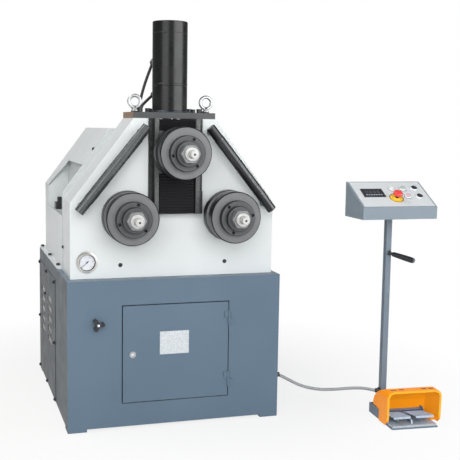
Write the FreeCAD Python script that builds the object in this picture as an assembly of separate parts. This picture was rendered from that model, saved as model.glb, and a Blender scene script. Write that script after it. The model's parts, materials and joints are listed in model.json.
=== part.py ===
import FreeCAD, Part
import math
import os
from FreeCAD import Vector as V

# Three-roll hydraulic ring bender with its pedestal console, in millimetres.
# Origin: floor, under the centre of the cabinet. +X right, +Y to the back, +Z up.

# ---- driving dimensions ---------------------------------------------------------------
CABINET_WIDTH = 900.0
CABINET_DEPTH = 1040.0
CABINET_TOP = 622.0
SHEET = 3.0
DECK = 12.0
FOOT_HEIGHT = 12.0
FOOT_SIDE = 78.0
FOOT_HOLE_R = 7.0

HEAD_FRONT = -465.0
HEAD_PLATE = 25.0
HEAD_HALF_WIDTH = 430.0
HEAD_SHOULDER = 930.0
HEAD_TOP = 1272.0
HEAD_TOP_HALF = 172.0
HEAD_WALL = 12.0
HEAD_BACK = -245.0
SLOT_HALF = 95.0
SLOT_BOTTOM = 884.0

HOUSING_HALF_WIDTH = 432.0
HOUSING_SHOULDER = 955.0
HOUSING_TOP = 1226.0
HOUSING_TOP_HALF = 233.0
HOUSING_BACK = 400.0

ROLL_R = 105.0
LOWER_ROLL_X = 210.0
LOWER_ROLL_Z = 880.0
TOP_ROLL_Z = 1136.0
ROLL_FACE = -646.0
ROLL_RING = 40.0
SHAFT_R = 40.0
SEAT_R = 30.0
RUNNING_GAP = 0.05
RAM_TRAVEL = 110.0

GEAR_MODULE = 6.0
GEAR_TEETH = 40
PINION_TEETH = 35
GEAR_FRONT = -230.0
GEAR_WIDTH = 45.0

CYLINDER_Y = -365.0
CYLINDER_R = 73.0
BORE_R = 60.0
ROD_R = 30.0
CYLINDER_TOP = 1669.0
TOP_PLATE = 25.0

DOOR_LEFT, DOOR_RIGHT = -226.0, 222.0
DOOR_BOTTOM, DOOR_TOP = 112.0, 514.0
DOOR_GAP = 4.0
DOOR_DEPTH = 18.0
HINGE_X, HINGE_Y = 224.0, -527.0
HINGE_SPANS = [(153, 219), (417, 477)]
LOCK_X, LOCK_Z = -186.0, 312.0

GAUGE_X, GAUGE_Z = -363.0, 690.0
KNOB_X, KNOB_Z = -330.0, 447.0

POST_X, POST_Y = 913.0, -600.0
POST_SIDE = 25.0
CONSOLE_LEFT, CONSOLE_RIGHT = 727.0, 1069.0
CONSOLE_FRONT, CONSOLE_BACK = -735.0, -560.0
CONSOLE_BOTTOM = 871.0
CONSOLE_FRONT_TOP, CONSOLE_BACK_TOP = 922.0, 1017.0

STAND_X, STAND_Y = 848.0, -822.0
STAND_TURN = -4.5
STAND_WIDTH, STAND_DEPTH, STAND_PLATE = 206.0, 254.0, 6.0
PEDAL_PRESS = 7.0

CONDUIT_R = 7.0
HOSE_R = 6.0

CABINET_FRONT = -CABINET_DEPTH / 2
HALF_WIDTH = CABINET_WIDTH / 2
CYLINDER_BASE = HEAD_TOP + TOP_PLATE
X, Y, Z = V(1, 0, 0), V(0, 1, 0), V(0, 0, 1)

# Free routes of the two hydraulic hoses and of the console's conduit, end to end.
UPPER_HOSE = [
    (-57, -291, 1506), (-67, -290, 1478), (-80, -289, 1444), (-92, -289, 1408),
    (-102, -287, 1372), (-107, -286, 1346), (-109, -285, 1324),
]
LOWER_HOSE = [
    (-54, -295, 1372), (-68, -301, 1361), (-83, -307, 1348), (-97, -312, 1335),
    (-108, -316, 1324),
]
CONDUIT = [
    (472, -480, 169), (506, -488, 152), (550, -499, 127), (604, -513, 109),
    (662, -528, 102), (722, -543, 104), (780, -557, 109), (832, -571, 109),
    (861, -583, 105), (880, -597, 102),
]


# ---- shape helpers --------------------------------------------------------------------
def box(x0, x1, y0, y1, z0, z1):
    return Part.makeBox(x1 - x0, y1 - y0, z1 - z0, V(x0, y0, z0))


def rod(radius, start, direction, length):
    return Part.makeCylinder(radius, length, V(*start), direction)


def tube(outer, inner, start, direction, length):
    return rod(outer, start, direction, length).cut(rod(inner, start, direction, length))


def face_of(points):
    corners = [V(*p) for p in points]
    return Part.Face(Part.makePolygon(corners + corners[:1]))


def prism_xz(outline, y0, y1):
    return face_of([(x, y0, z) for x, z in outline]).extrude(V(0, y1 - y0, 0))


def prism_yz(outline, x0, x1):
    return face_of([(x0, y, z) for y, z in outline]).extrude(V(x1 - x0, 0, 0))


def prism_xy(outline, z0, z1):
    return face_of([(x, y, z0) for x, y in outline]).extrude(V(0, 0, z1 - z0))


def aimed(shape, base, direction):
    """Turn a shape made along +Z to a direction, and put its origin at base."""
    turn = FreeCAD.Rotation(Z, direction)
    moved = shape.copy()
    moved.Placement = FreeCAD.Placement(V(*base), turn)
    return moved


def turned(profile, base, direction):
    """Revolve (radius, distance) points about a line through base."""
    wire = [(r, 0, d) for r, d in profile]
    solid = face_of(wire).revolve(V(0, 0, 0), Z, 360)
    return aimed(solid, base, direction)


def mirrored(shape):
    return shape.mirror(V(0, 0, 0), X)


def hexagon(across_flats, height, base, direction, lift=0.0):
    corner = across_flats / math.sqrt(3)
    ring = [(corner * math.cos(math.radians(60 * i + lift)),
             corner * math.sin(math.radians(60 * i + lift))) for i in range(6)]
    return aimed(prism_xy(ring, 0, height), base, direction)


def socket_screw(head_r, head, shank_r, shank, base, direction):
    """Cap screw whose head sits on base; direction points out of the head."""
    body = turned([(0, -shank), (shank_r, -shank), (shank_r, 0), (head_r, 0),
                   (head_r, head), (0, head)], (0, 0, 0), Z)
    recess = hexagon(head_r, head * 0.5, (0, 0, head * 0.5), Z)
    return aimed(body.cut(recess), base, direction)


def routed_tube(points, radius, name):
    """Tube along straight runs joined by arcs as large as the runs allow."""
    route = [V(*p) for p in points]
    edges, radii, at = [], [], route[0]
    for before, corner, after in zip(route, route[1:], route[2:]):
        into, out = corner - before, after - corner
        half = into.getAngle(out) / 2
        reach = 0.45 * min(into.Length, out.Length)
        radii.append(reach / math.tan(half))
        first = corner - into.normalize() * reach
        last = corner + out.normalize() * reach
        middle = corner + (first + last - corner * 2).normalize() * (
            math.hypot(radii[-1], reach) - radii[-1])
        edges += [Part.LineSegment(at, first).toShape(), Part.Arc(first, middle, last).toShape()]
        at = last
    edges.append(Part.LineSegment(at, route[-1]).toShape())
    path = Part.Wire(edges)
    start = Part.Wire(Part.makeCircle(radius, route[0], route[1] - route[0]))
    solid = path.makePipeShell([start], True, True)
    ideal = math.pi * radius ** 2 * path.Length
    print(name, "length %.0f mm" % path.Length, "radii", [round(r) for r in radii],
          "volume ratio %.4f" % (solid.Volume / ideal))
    return solid


def save(node, *solids):
    shape = solids[0] if len(solids) == 1 else Part.makeCompound(list(solids))
    shape.exportStep("parts/%s.step" % node)


# ---- cabinet --------------------------------------------------------------------------
def cabinet_front():
    top = CABINET_TOP - DECK
    front = CABINET_FRONT
    panel = box(-HALF_WIDTH, HALF_WIDTH, front, front + SHEET, FOOT_HEIGHT, top)
    left, right = DOOR_LEFT - DOOR_GAP, DOOR_RIGHT + DOOR_GAP
    low, high = DOOR_BOTTOM - DOOR_GAP, DOOR_TOP + DOOR_GAP
    rim = box(left - SHEET, right + SHEET, front, front + 23, low - SHEET, high + SHEET)
    opening = box(left, right, front - 1, front + 30, low, high)
    knob_hole = rod(9, (KNOB_X, front - 1, KNOB_Z), Y, SHEET + 2)
    save("cabinet_front", panel.fuse(rim).cut(opening).cut(knob_hole).removeSplitter())


def cabinet_shell():
    top = CABINET_TOP - DECK
    inner_x, inner_y = HALF_WIDTH - SHEET, CABINET_DEPTH / 2 - SHEET
    left = box(-HALF_WIDTH, -inner_x, -inner_y, inner_y + SHEET, FOOT_HEIGHT, top)
    left = left.cut(box(-HALF_WIDTH - 1, -inner_x + 1, -96, 484, 46, 534))
    right = box(inner_x, HALF_WIDTH, -inner_y, inner_y + SHEET, FOOT_HEIGHT, top)
    right = right.cut(rod(8, (inner_x - 1, CONDUIT[0][1], 172), X, SHEET + 2))
    back = box(-inner_x, inner_x, inner_y, inner_y + SHEET, FOOT_HEIGHT, top)
    back = back.cut(rod(10, (-300, inner_y - 1, 120), Y, SHEET + 2))
    floor = box(-inner_x, inner_x, -inner_y, inner_y, FOOT_HEIGHT, FOOT_HEIGHT + SHEET)
    notch = FOOT_SIDE + 4
    for side_x in (-1, 1):
        for side_y in (-1, 1):
            corner = V(side_x * HALF_WIDTH, side_y * CABINET_DEPTH / 2, FOOT_HEIGHT + SHEET / 2)
            floor = floor.cut(Part.makeBox(2 * notch, 2 * notch, 2 * SHEET,
                                           corner - V(notch, notch, SHEET)))
    deck = box(-HALF_WIDTH, HALF_WIDTH, CABINET_FRONT, -CABINET_FRONT, top, CABINET_TOP)
    save("cabinet_shell", left, right, back, floor, deck)


def foot_pads():
    pads = []
    for side_x in (-1, 1):
        for side_y in (-1, 1):
            x = side_x * (HALF_WIDTH - FOOT_SIDE / 2)
            y = side_y * (CABINET_DEPTH / 2 - FOOT_SIDE / 2)
            half = FOOT_SIDE / 2
            pad = box(x - half, x + half, y - half, y + half, 0, FOOT_HEIGHT)
            pads.append(pad.cut(rod(FOOT_HOLE_R, (x, y, -1), Z, FOOT_HEIGHT + 2)))
    save("foot_pads", *pads)


def vent_cover():
    cover = box(-HALF_WIDTH - 2, -HALF_WIDTH, -128, 516, 14, 566)
    for centre_y in (81, 342):
        for row in range(5):
            z = 247 + 48 * row
            cover = cover.cut(box(-HALF_WIDTH - 3, -HALF_WIDTH + 1,
                                  centre_y - 70, centre_y + 70, z - 14, z + 14))
    save("vent_cover", cover)


def door():
    front, depth = CABINET_FRONT - 2, DOOR_DEPTH
    pan = box(DOOR_LEFT, DOOR_RIGHT, front, front + depth, DOOR_BOTTOM, DOOR_TOP)
    hollow = box(DOOR_LEFT + 2, DOOR_RIGHT - 2, front + 2, front + depth + 1,
                 DOOR_BOTTOM + 2, DOOR_TOP - 2)
    pan = pan.cut(hollow).cut(rod(11, (LOCK_X, front - 1, LOCK_Z), Y, 6))
    lock_case = turned([(6.05, -4), (13.5, -4), (13.5, 0), (11, 0), (11, 24), (6.05, 24)],
                       (LOCK_X, front, LOCK_Z), Y)
    barrels = []
    for low, high in HINGE_SPANS:
        middle = (low + high) / 2
        barrel = tube(5, 3 + RUNNING_GAP, (HINGE_X, HINGE_Y, middle + 0.5), Z, high - middle - 0.5)
        weld = box(HINGE_X - 20, HINGE_X - 3, HINGE_Y - 1, front, middle + 4, high - 4)
        weld = weld.cut(rod(3.5, (HINGE_X, HINGE_Y, low), Z, high - low))
        barrels.append(barrel.fuse(weld))
    save("door", pan, lock_case, *barrels)


def hinge_lower_halves():
    front = CABINET_FRONT
    halves = []
    for low, high in HINGE_SPANS:
        middle = (low + high) / 2
        barrel = rod(5, (HINGE_X, HINGE_Y, low), Z, middle - low)
        pin = rod(3, (HINGE_X, HINGE_Y, middle), Z, high - middle)
        weld = box(HINGE_X + 3, HINGE_X + 20, HINGE_Y - 1, front, low + 4, middle - 4)
        halves.append(barrel.fuse(pin).fuse(weld))
    save("hinge_lower_halves", *halves)


def door_lock_cam():
    front = CABINET_FRONT - 2
    rotor = turned([(0, -3), (6, -3), (6, 26), (4, 26), (4, 32), (0, 32)],
                   (LOCK_X, front, LOCK_Z), Y)
    rotor = rotor.cut(box(LOCK_X - 1.2, LOCK_X + 1.2, front - 4, front + 1,
                          LOCK_Z - 4, LOCK_Z + 4))
    tongue = box(LOCK_X - 8, LOCK_X + 8, front + 26.5, front + 29.5, LOCK_Z - 9, LOCK_Z + 54)
    save("door_lock_cam", rotor.fuse(tongue))


def valve_knob():
    front = CABINET_FRONT
    hub = turned([(0, -34), (8, -34), (8, -31), (11, -29), (11, -8), (5, -8), (5, 12), (0, 12)],
                 (KNOB_X, front, KNOB_Z), Y)
    knob = hub
    for angle in (124, 4, 244):
        a = math.radians(angle)
        tip = (KNOB_X + 18 * math.cos(a), front - 29, KNOB_Z + 18 * math.sin(a))
        knob = knob.fuse(rod(9, tip, Y, 18))
        web = box(0, 18, -7.5, 7.5, 0, 16)
        web.rotate(V(0, 0, 0), X, 90)
        web.rotate(V(0, 0, 0), Y, -angle)
        web.translate(V(KNOB_X, front - 12, KNOB_Z))
        knob = knob.fuse(web)
    save("valve_knob", knob)


def cable_glands():
    y = CONDUIT[0][1]
    side = turned([(0, -4), (8, -4), (8, 0), (14, 0), (14, 8), (11, 9), (10, 22), (0, 22)],
                  (HALF_WIDTH, y, 172), X)
    rear = turned([(0, -4), (10, -4), (10, 0), (16, 0), (16, 9), (12, 10), (12, 26), (0, 26)],
                  (-300, CABINET_DEPTH / 2, 120), Y)
    post = turned([(0, 0), (13, 0), (13, 6), (10, 7), (9.5, 20.5), (0, 20.5)],
                  (POST_X - POST_SIDE / 2, CONDUIT[-1][1], CONDUIT[-1][2]), V(-1, 0, 0))
    save("cable_glands", side, rear, post)


# ---- head -----------------------------------------------------------------------------
def slope_inset(half_width, shoulder, top_half, top, depth):
    """Corners of a sloped side, moved inwards by depth."""
    run, rise = half_width - top_half, top - shoulder
    length = math.hypot(run, rise)
    inner_x = half_width - depth
    inner_shoulder = shoulder - depth * (length - rise) / run
    inner_top = top_half - depth * length / rise
    return (inner_x, inner_shoulder), (inner_top, top)


def gable(half_width, base, shoulder, top_half, top):
    return [(-half_width, base), (half_width, base), (half_width, shoulder),
            (top_half, top), (-top_half, top), (-half_width, shoulder)]


BASE_BOLT_X = 441.0
BASE_BOLT_Y = (-156, 149, 463)
PLATE_BOLTS = ((128, -368), (88, -345), (128, -262), (60, -262))


def head_outline(base):
    return gable(HEAD_HALF_WIDTH, base, HEAD_SHOULDER, HEAD_TOP_HALF, HEAD_TOP)


def shaft_holes(plate, y):
    for side in (-1, 1):
        plate = plate.cut(rod(75, (side * LOWER_ROLL_X, y - 1, LOWER_ROLL_Z), Y, 40))
    return plate


def head_front_plate():
    back = HEAD_FRONT + HEAD_PLATE
    plate = prism_xz(head_outline(CABINET_TOP), HEAD_FRONT, back)
    plate = plate.cut(box(-SLOT_HALF, SLOT_HALF, HEAD_FRONT - 1, back + 1, SLOT_BOTTOM, HEAD_TOP + 1))
    plate = shaft_holes(plate, HEAD_FRONT)
    plate = plate.cut(rod(31, (GAUGE_X, HEAD_FRONT - 1, GAUGE_Z), Y, 40))
    save("head_front_plate", plate)


def side_wall(outer, base, depth):
    half_width, shoulder, top_half, top = outer
    (inner_x, inner_shoulder), (inner_top, _) = slope_inset(*outer, depth)
    return [(half_width, base), (half_width, shoulder), (top_half, top), (inner_top, top),
            (inner_x, inner_shoulder), (inner_x, base)]


def head_frame():
    base = CABINET_TOP + HEAD_WALL
    front_back = HEAD_FRONT + HEAD_PLATE
    middle = prism_xz(head_outline(base), HEAD_BACK - HEAD_PLATE, HEAD_BACK)
    middle = middle.cut(box(-SLOT_HALF, SLOT_HALF, HEAD_BACK - 30, HEAD_BACK + 1,
                            SLOT_BOTTOM, HEAD_TOP + 1))
    middle = shaft_holes(middle, HEAD_BACK - HEAD_PLATE)
    outer = (HEAD_HALF_WIDTH, HEAD_SHOULDER, HEAD_TOP_HALF, HEAD_TOP)
    right = prism_xz(side_wall(outer, base, HEAD_WALL), front_back, HEAD_BACK - HEAD_PLATE)
    wide, narrow = HALF_WIDTH - 1, HEAD_HALF_WIDTH
    rim = [(-narrow, front_back), (narrow, front_back), (narrow, -200), (wide, -178),
           (wide, 500), (-wide, 500), (-wide, -178), (-narrow, -200)]
    foot = prism_xy(rim, CABINET_TOP, base)
    for side in (-1, 1):
        for y in BASE_BOLT_Y:
            foot = foot.cut(rod(5, (side * BASE_BOLT_X, y, CABINET_TOP - 1), Z, HEAD_WALL + 2))
    save("head_frame", middle, right, mirrored(right), foot)


def head_bolts():
    bolts = []
    for side in (-1, 1):
        for y in BASE_BOLT_Y:
            seat = (side * BASE_BOLT_X, y, CABINET_TOP + HEAD_WALL)
            bolts.append(socket_screw(8, 9, 5, HEAD_WALL, seat, Z))
        for x, y in PLATE_BOLTS:
            bolts.append(socket_screw(12, 17, 8, TOP_PLATE, (side * x, y, CYLINDER_BASE), Z))
    save("head_bolts", *bolts)


def housing_outer():
    return (HOUSING_HALF_WIDTH, HOUSING_SHOULDER, HOUSING_TOP_HALF, HOUSING_TOP)


def side_window():
    """Access window that runs over the fold of the left cover."""
    side = prism_yz([(-235, 856), (285, 856), (285, 960), (-235, 960)],
                    -HOUSING_HALF_WIDTH - 5, -HOUSING_HALF_WIDTH + 25)
    slope = prism_yz([(-235, 950), (285, 950), (200, 1073), (-235, 1073)],
                     -HOUSING_HALF_WIDTH - 5, -HOUSING_HALF_WIDTH + 130)
    return side.fuse(slope)


def side_sheet():
    """Right side and slope of the cover, with a return that closes its front end."""
    base = CABINET_TOP + HEAD_WALL
    wall = prism_xz(side_wall(housing_outer(), base, SHEET), HEAD_BACK, HOUSING_BACK - SHEET)
    lip = prism_xz(side_wall(housing_outer(), base, 40), HEAD_BACK, HEAD_BACK + 2)
    inner_half = slope_inset(*housing_outer(), SHEET)[1][0]
    lip = lip.cut(box(-inner_half, inner_half, HEAD_BACK - 1, HEAD_BACK + 3,
                      HOUSING_TOP - SHEET, HOUSING_TOP + 1))
    return wall.fuse(lip)


def side_cover_left():
    save("side_cover_left", mirrored(side_sheet()).cut(side_window()))


def rear_covers():
    base = CABINET_TOP + HEAD_WALL
    right = side_sheet()
    inner_half = slope_inset(*housing_outer(), SHEET)[1][0]
    top = box(-inner_half, inner_half, HEAD_BACK, HOUSING_BACK - SHEET,
              HOUSING_TOP - SHEET, HOUSING_TOP)
    top = top.cut(box(-SLOT_HALF - 1, SLOT_HALF + 1, HEAD_BACK - 1, -237, HOUSING_TOP - 9, HOUSING_TOP + 9))
    outline = gable(HOUSING_HALF_WIDTH, base, HOUSING_SHOULDER, HOUSING_TOP_HALF, HOUSING_TOP)
    back = prism_xz(outline, HOUSING_BACK - SHEET, HOUSING_BACK)
    save("rear_covers", right, top, back)


def inner_frame():
    base = CABINET_TOP + HEAD_WALL
    inner = prism_xz([(325, base), (335, base), (335, 1072), (325, 1086)], -150, HOUSING_BACK - SHEET)
    cross = prism_xz([(335, base), (429, base), (429, 948), (335, 1065)], 290, 293)
    plate = box(-335, 335, -165, -150, base, 940)
    plate = plate.cut(rod(45, (0, -166, pinion_z()), Y, 20))
    save("inner_frame", inner, mirrored(inner), cross, mirrored(cross), plate)


def slide_ways():
    way = box(SLOT_HALF - 18, SLOT_HALF, -508, -238, SLOT_BOTTOM, HEAD_TOP)
    keeper = box(SLOT_HALF, SLOT_HALF + 18, -477, HEAD_FRONT, SLOT_BOTTOM, HEAD_TOP)
    save("slide_ways", way, mirrored(way), keeper, mirrored(keeper))


def top_plate():
    plate = box(-172.5, 172.5, -456, -241, HEAD_TOP, CYLINDER_BASE)
    plate = plate.cut(rod(ROD_R + 1, (0, CYLINDER_Y, HEAD_TOP - 1), Z, TOP_PLATE + 2))
    for side in (-1, 1):
        for x, y in PLATE_BOLTS:
            plate = plate.cut(rod(8, (side * x, y, HEAD_TOP - 1), Z, TOP_PLATE + 2))
    save("top_plate", plate)


EYE_X, EYE_Y, EYE_Z = 152.0, -383.0, 1340.0


def lifting_eyes():
    ring = Part.makeTorus(24, 7, V(EYE_X, EYE_Y, EYE_Z), Y)
    collar = turned([(0, 0), (15, 0), (15, 7), (9, 13), (9, 22), (0, 22)],
                    (EYE_X, EYE_Y, CYLINDER_BASE), Z)
    eye = ring.fuse(collar)
    save("lifting_eyes", eye, mirrored(eye))


def hydraulic_cylinder():
    z0, z1 = CYLINDER_BASE, CYLINDER_TOP
    barrel = turned([(BORE_R, z0), (76, z0), (76, z0 + 6), (CYLINDER_R, z0 + 8),
                     (CYLINDER_R, z1 - 46), (BORE_R, z1 - 46)], (0, CYLINDER_Y, 0), Z)
    cap = turned([(0, z1 - 46), (CYLINDER_R, z1 - 46), (CYLINDER_R, z1 - 2), (CYLINDER_R - 2, z1),
                  (0, z1)], (0, CYLINDER_Y, 0), Z)
    gland = tube(BORE_R, ROD_R + RUNNING_GAP, (0, CYLINDER_Y, z0), Z, 42)
    save("hydraulic_cylinder", barrel, cap, gland)


def hydraulic_fittings():
    parts = []
    for start in (UPPER_HOSE, LOWER_HOSE):
        end = V(*start[0])
        along = V(*start[0]) - V(*start[1])
        root = V(0, CYLINDER_Y, end.z)
        reach = V(end.x, end.y, end.z) - root
        surface = root + V(reach).normalize() * CYLINDER_R
        body = rod(11, tuple(surface), reach, (end - surface).Length + 6)
        nut = rod(9, tuple(end), along, 14)
        shape = body.fuse(nut).cut(rod(CYLINDER_R, (0, CYLINDER_Y, CYLINDER_BASE), Z, 400))
        parts.append(shape)
    for route in (UPPER_HOSE, LOWER_HOSE):
        end, along = V(*route[-1]), V(*route[-1]) - V(*route[-2])
        foot = hexagon(24, end.z - CYLINDER_BASE - 8, (end.x + along.x, end.y, CYLINDER_BASE), Z)
        nut = rod(9, tuple(end), along, 20)
        above = box(-200, 200, -500, 0, CYLINDER_BASE, 1500)
        parts.append(foot.fuse(nut).common(above))
    front = CABINET_FRONT + SHEET
    valve = box(KNOB_X - 30, KNOB_X + 30, front, front + 55, KNOB_Z - 35, KNOB_Z + 35)
    valve = valve.cut(rod(5.1, (KNOB_X, front - 1, KNOB_Z), Y, 15))
    save("hydraulic_fittings", valve, *parts)


def cylinder_hoses():
    save("cylinder_hoses", routed_tube(UPPER_HOSE, HOSE_R, "upper hose"),
         routed_tube(LOWER_HOSE, HOSE_R, "lower hose"))


BAR_LOW = (404.0, 899.0)
BAR_HIGH = (130.0, 1239.0)
BAR_Y = -530.0


def guide_bars():
    low, high = V(BAR_LOW[0], BAR_Y, BAR_LOW[1]), V(BAR_HIGH[0], BAR_Y, BAR_HIGH[1])
    along = high - low
    length, end = along.Length, 56
    bar = turned([(0, 0), (18.5, 0), (20, 1.5), (20, end), (21.5, end + 1.5), (21.5, length - end - 1.5),
                  (20, length - end), (20, length - 1.5), (18.5, length), (0, length)], tuple(low), along)
    solids = []
    unit = V(along).normalize()
    posts = []
    for distance in (28, length - 28):
        at = low + unit * distance
        post = rod(13, (at.x, HEAD_FRONT, at.z), V(0, -1, 0), HEAD_FRONT - BAR_Y)
        posts.append(post.cut(bar))
    for solid in [bar] + posts:
        solids += [solid, mirrored(solid)]
    save("guide_bars", *solids)


def gauge():
    at = (GAUGE_X, HEAD_FRONT, GAUGE_Z)
    out = V(0, -1, 0)
    case = turned([(0, -30), (30, -30), (30, 0), (44.5, 0), (44.5, 3), (37.5, 4), (37.5, 15),
                   (33.5, 15), (33.5, 4), (0, 4)], at, out)
    save("gauge_case", case)
    pivot = (GAUGE_X, HEAD_FRONT - 4.5, GAUGE_Z)
    cap = rod(3, pivot, out, 4)
    hand = prism_xz([(-1.6, -9), (1.6, -9), (0.4, 25), (-0.4, 25)], HEAD_FRONT - 7.5, HEAD_FRONT - 6.5)
    hand.rotate(V(0, 0, 0), Y, -135)
    hand.translate(V(GAUGE_X, 0, GAUGE_Z))
    save("gauge_needle", cap.fuse(hand))


def shaft_bearings():
    solids = []
    for side in (-1, 1):
        at = (side * LOWER_ROLL_X, 0, LOWER_ROLL_Z)
        bore = SHAFT_R + RUNNING_GAP
        front = turned([(bore, -484), (82, -484), (86, -480), (86, HEAD_FRONT), (75, HEAD_FRONT),
                        (75, HEAD_FRONT + HEAD_PLATE), (bore, HEAD_FRONT + HEAD_PLATE)], at, Y)
        rear = tube(75, bore, (at[0], HEAD_BACK - HEAD_PLATE, at[2]), Y, HEAD_PLATE)
        solids += [front, rear]
    save("shaft_bearings", *solids)


def position_switches():
    wing = box(95, 107, -508, -477, SLOT_BOTTOM, 978)
    slot = box(99, 103, -510, -504, 896, 966)
    bracket = box(-385, -335, 60, 140, 862, 868)
    coil = box(-420, -385, 70, 130, 868, 888)
    plug = box(-412, -393, 74, 100, 888, 912)
    arm = box(-420, -385, 70, 130, 856, 868)
    save("position_switches", wing.cut(slot), bracket, coil.fuse(plug).fuse(arm))


# ---- drive ----------------------------------------------------------------------------
def centre_distance():
    return GEAR_MODULE * (GEAR_TEETH + PINION_TEETH) / 2


def pinion_z():
    return LOWER_ROLL_Z - math.sqrt(centre_distance() ** 2 - LOWER_ROLL_X ** 2)


def gear_outline(teeth, phase):
    """Involute-like flanks from three points each; the tooth at phase points that way."""
    pitch_r = GEAR_MODULE * teeth / 2
    root_r, tip_r = pitch_r - 1.25 * GEAR_MODULE, pitch_r + GEAR_MODULE
    base_r = pitch_r * math.cos(math.radians(20))
    backlash = 0.25 / pitch_r

    def half_angle(radius):
        at_pitch = math.pi / (2 * teeth) + math.tan(math.radians(20)) - math.radians(20)
        if radius <= base_r:
            return at_pitch - backlash
        pressure = math.acos(base_r / radius)
        return at_pitch - (math.tan(pressure) - pressure) - backlash

    points = []
    for tooth in range(teeth):
        centre = phase + 2 * math.pi * tooth / teeth
        flank = [(root_r, half_angle(root_r)), (pitch_r, half_angle(pitch_r)),
                 (tip_r, half_angle(tip_r))]
        for radius, half in flank:
            points.append((radius * math.cos(centre - half), radius * math.sin(centre - half)))
        for radius, half in reversed(flank):
            points.append((radius * math.cos(centre + half), radius * math.sin(centre + half)))
    return points


def gear_body(teeth, phase, centre_x, centre_z, bore):
    outline = [(centre_x + x, centre_z + z) for x, z in gear_outline(teeth, phase)]
    body = prism_xz(outline, GEAR_FRONT, GEAR_FRONT + GEAR_WIDTH)
    if bore:
        body = body.cut(rod(bore, (centre_x, GEAR_FRONT - 1, centre_z), Y, GEAR_WIDTH + 2))
    return body


def drive_gears():
    """Two roll gears in mesh with one pinion that has a tooth pointing straight up."""
    drop = LOWER_ROLL_Z - pinion_z()
    for side, name in ((-1, "gear_left"), (1, "gear_right")):
        to_gear = math.atan2(drop, side * LOWER_ROLL_X)
        pinion_pitch = 2 * math.pi / PINION_TEETH
        gear_pitch = 2 * math.pi / GEAR_TEETH
        fraction = ((to_gear - math.pi / 2) / pinion_pitch) % 1.0
        phase = to_gear + math.pi - (0.5 - fraction) * gear_pitch
        body = gear_body(GEAR_TEETH, phase, side * LOWER_ROLL_X, LOWER_ROLL_Z, SEAT_R)
        save(name, body)
    pinion = gear_body(PINION_TEETH, math.pi / 2, 0, pinion_z(), 0)
    stub = rod(22, (0, GEAR_FRONT + GEAR_WIDTH, pinion_z()), Y, 34)
    save("drive_pinion", pinion.fuse(stub))


def drive_motor():
    z = pinion_z()
    body = turned([(22.05, -150), (88, -150), (88, -128), (80, -120), (80, 10), (62, 24), (62, 120),
                   (0, 120), (0, -148), (22.05, -148)], (0, 0, z), Y)
    save("drive_motor", body)


def roll_shaft(x, z, rear, seat_front):
    """Roll shaft: pilot tip, bright end, roll seat, shoulder, journal and gear seat."""
    tip = ROLL_FACE - 124
    profile = [(0, tip), (13.5, tip), (15, tip + 1.5), (15, tip + 36), (25.5, tip + 36),
               (27, tip + 37.5), (27, ROLL_FACE - 46), (SEAT_R, ROLL_FACE - 46),
               (SEAT_R, ROLL_FACE + 3 * ROLL_RING), (52, ROLL_FACE + 3 * ROLL_RING),
               (52, -502), (SHAFT_R, -502), (SHAFT_R, seat_front)]
    if rear > seat_front:
        profile += [(SEAT_R, seat_front), (SEAT_R, rear)]
    profile.append((0, profile[-1][1]))
    shaft = turned(profile, (x, 0, z), Y)
    return shaft.cut(rod(3, (x, tip - 1, z), Y, 13))


def roll_rings(x, z):
    wide = 4.0
    front, back = ROLL_FACE, ROLL_FACE + ROLL_RING
    disc = [(SEAT_R, front), (ROLL_R - wide, front), (ROLL_R, front + wide),
            (ROLL_R, back - 2), (ROLL_R - 2, back), (SEAT_R, back)]
    outer = turned(disc, (x, 0, z), Y)
    middle = tube(ROLL_R - 8, SEAT_R, (x, back, z), Y, ROLL_RING)
    rear_disc = [(r, 2 * back + ROLL_RING - d) for r, d in disc]
    inner = turned(rear_disc, (x, 0, z), Y)
    return outer, middle, inner


def roll_hub(x, z, first_hole):
    face = ROLL_FACE
    hub = turned([(SEAT_R, face), (SEAT_R, face - 46), (49, face - 46), (50.5, face - 44.5),
                  (50.5, face - 25), (69, face - 25), (71, face - 23), (71, face)], (x, 0, z), Y)
    for step in range(3):
        a = math.radians(first_hole + 120 * step)
        hole = rod(6.5, (x + 60.5 * math.cos(a), face - 26, z + 60.5 * math.sin(a)), Y, 14)
        hub = hub.cut(hole)
    nut = hexagon(68, 28, (x, face - 46, z), V(0, -1, 0))
    nut = nut.common(turned([(0, -1), (40, -1), (40, 24), (34, 28), (0, 28)],
                            (x, face - 46, z), V(0, -1, 0)))
    nut = nut.cut(rod(27, (x, face - 80, z), Y, 40))
    return hub, nut


def roll_set(name, x, z, first_hole, rear, seat_front):
    save("shaft_" + name, roll_shaft(x, z, rear, seat_front))
    save("rolls_" + name, *roll_rings(x, z), *roll_hub(x, z, first_hole))


def roll_sets():
    roll_set("left", -LOWER_ROLL_X, LOWER_ROLL_Z, 76, -180, -238)
    roll_set("right", LOWER_ROLL_X, LOWER_ROLL_Z, 11, -180, -238)
    roll_set("top", 0, TOP_ROLL_Z, 68, -240, -240)


# ---- slide ----------------------------------------------------------------------------
BLOCK_LOW, BLOCK_HIGH = 1050.0, 1222.0
BLOCK_FRONT, BLOCK_BACK = -498.0, -240.0


def slide_block():
    half = SLOT_HALF - 18 - 0.3
    block = box(-half, half, BLOCK_FRONT, BLOCK_BACK, BLOCK_LOW, BLOCK_HIGH)
    block = block.cut(rod(58, (0, BLOCK_FRONT - 1, TOP_ROLL_Z), Y, 31))
    block = block.cut(rod(58, (0, BLOCK_BACK - 30, TOP_ROLL_Z), Y, 31))
    block = block.cut(rod(46, (0, BLOCK_FRONT, TOP_ROLL_Z), Y, BLOCK_BACK - BLOCK_FRONT))
    bearings = [tube(58, SHAFT_R + RUNNING_GAP, (0, y, TOP_ROLL_Z), Y, 30)
                for y in (BLOCK_FRONT, BLOCK_BACK - 30)]
    save("slide_block", block, *bearings)


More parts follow.
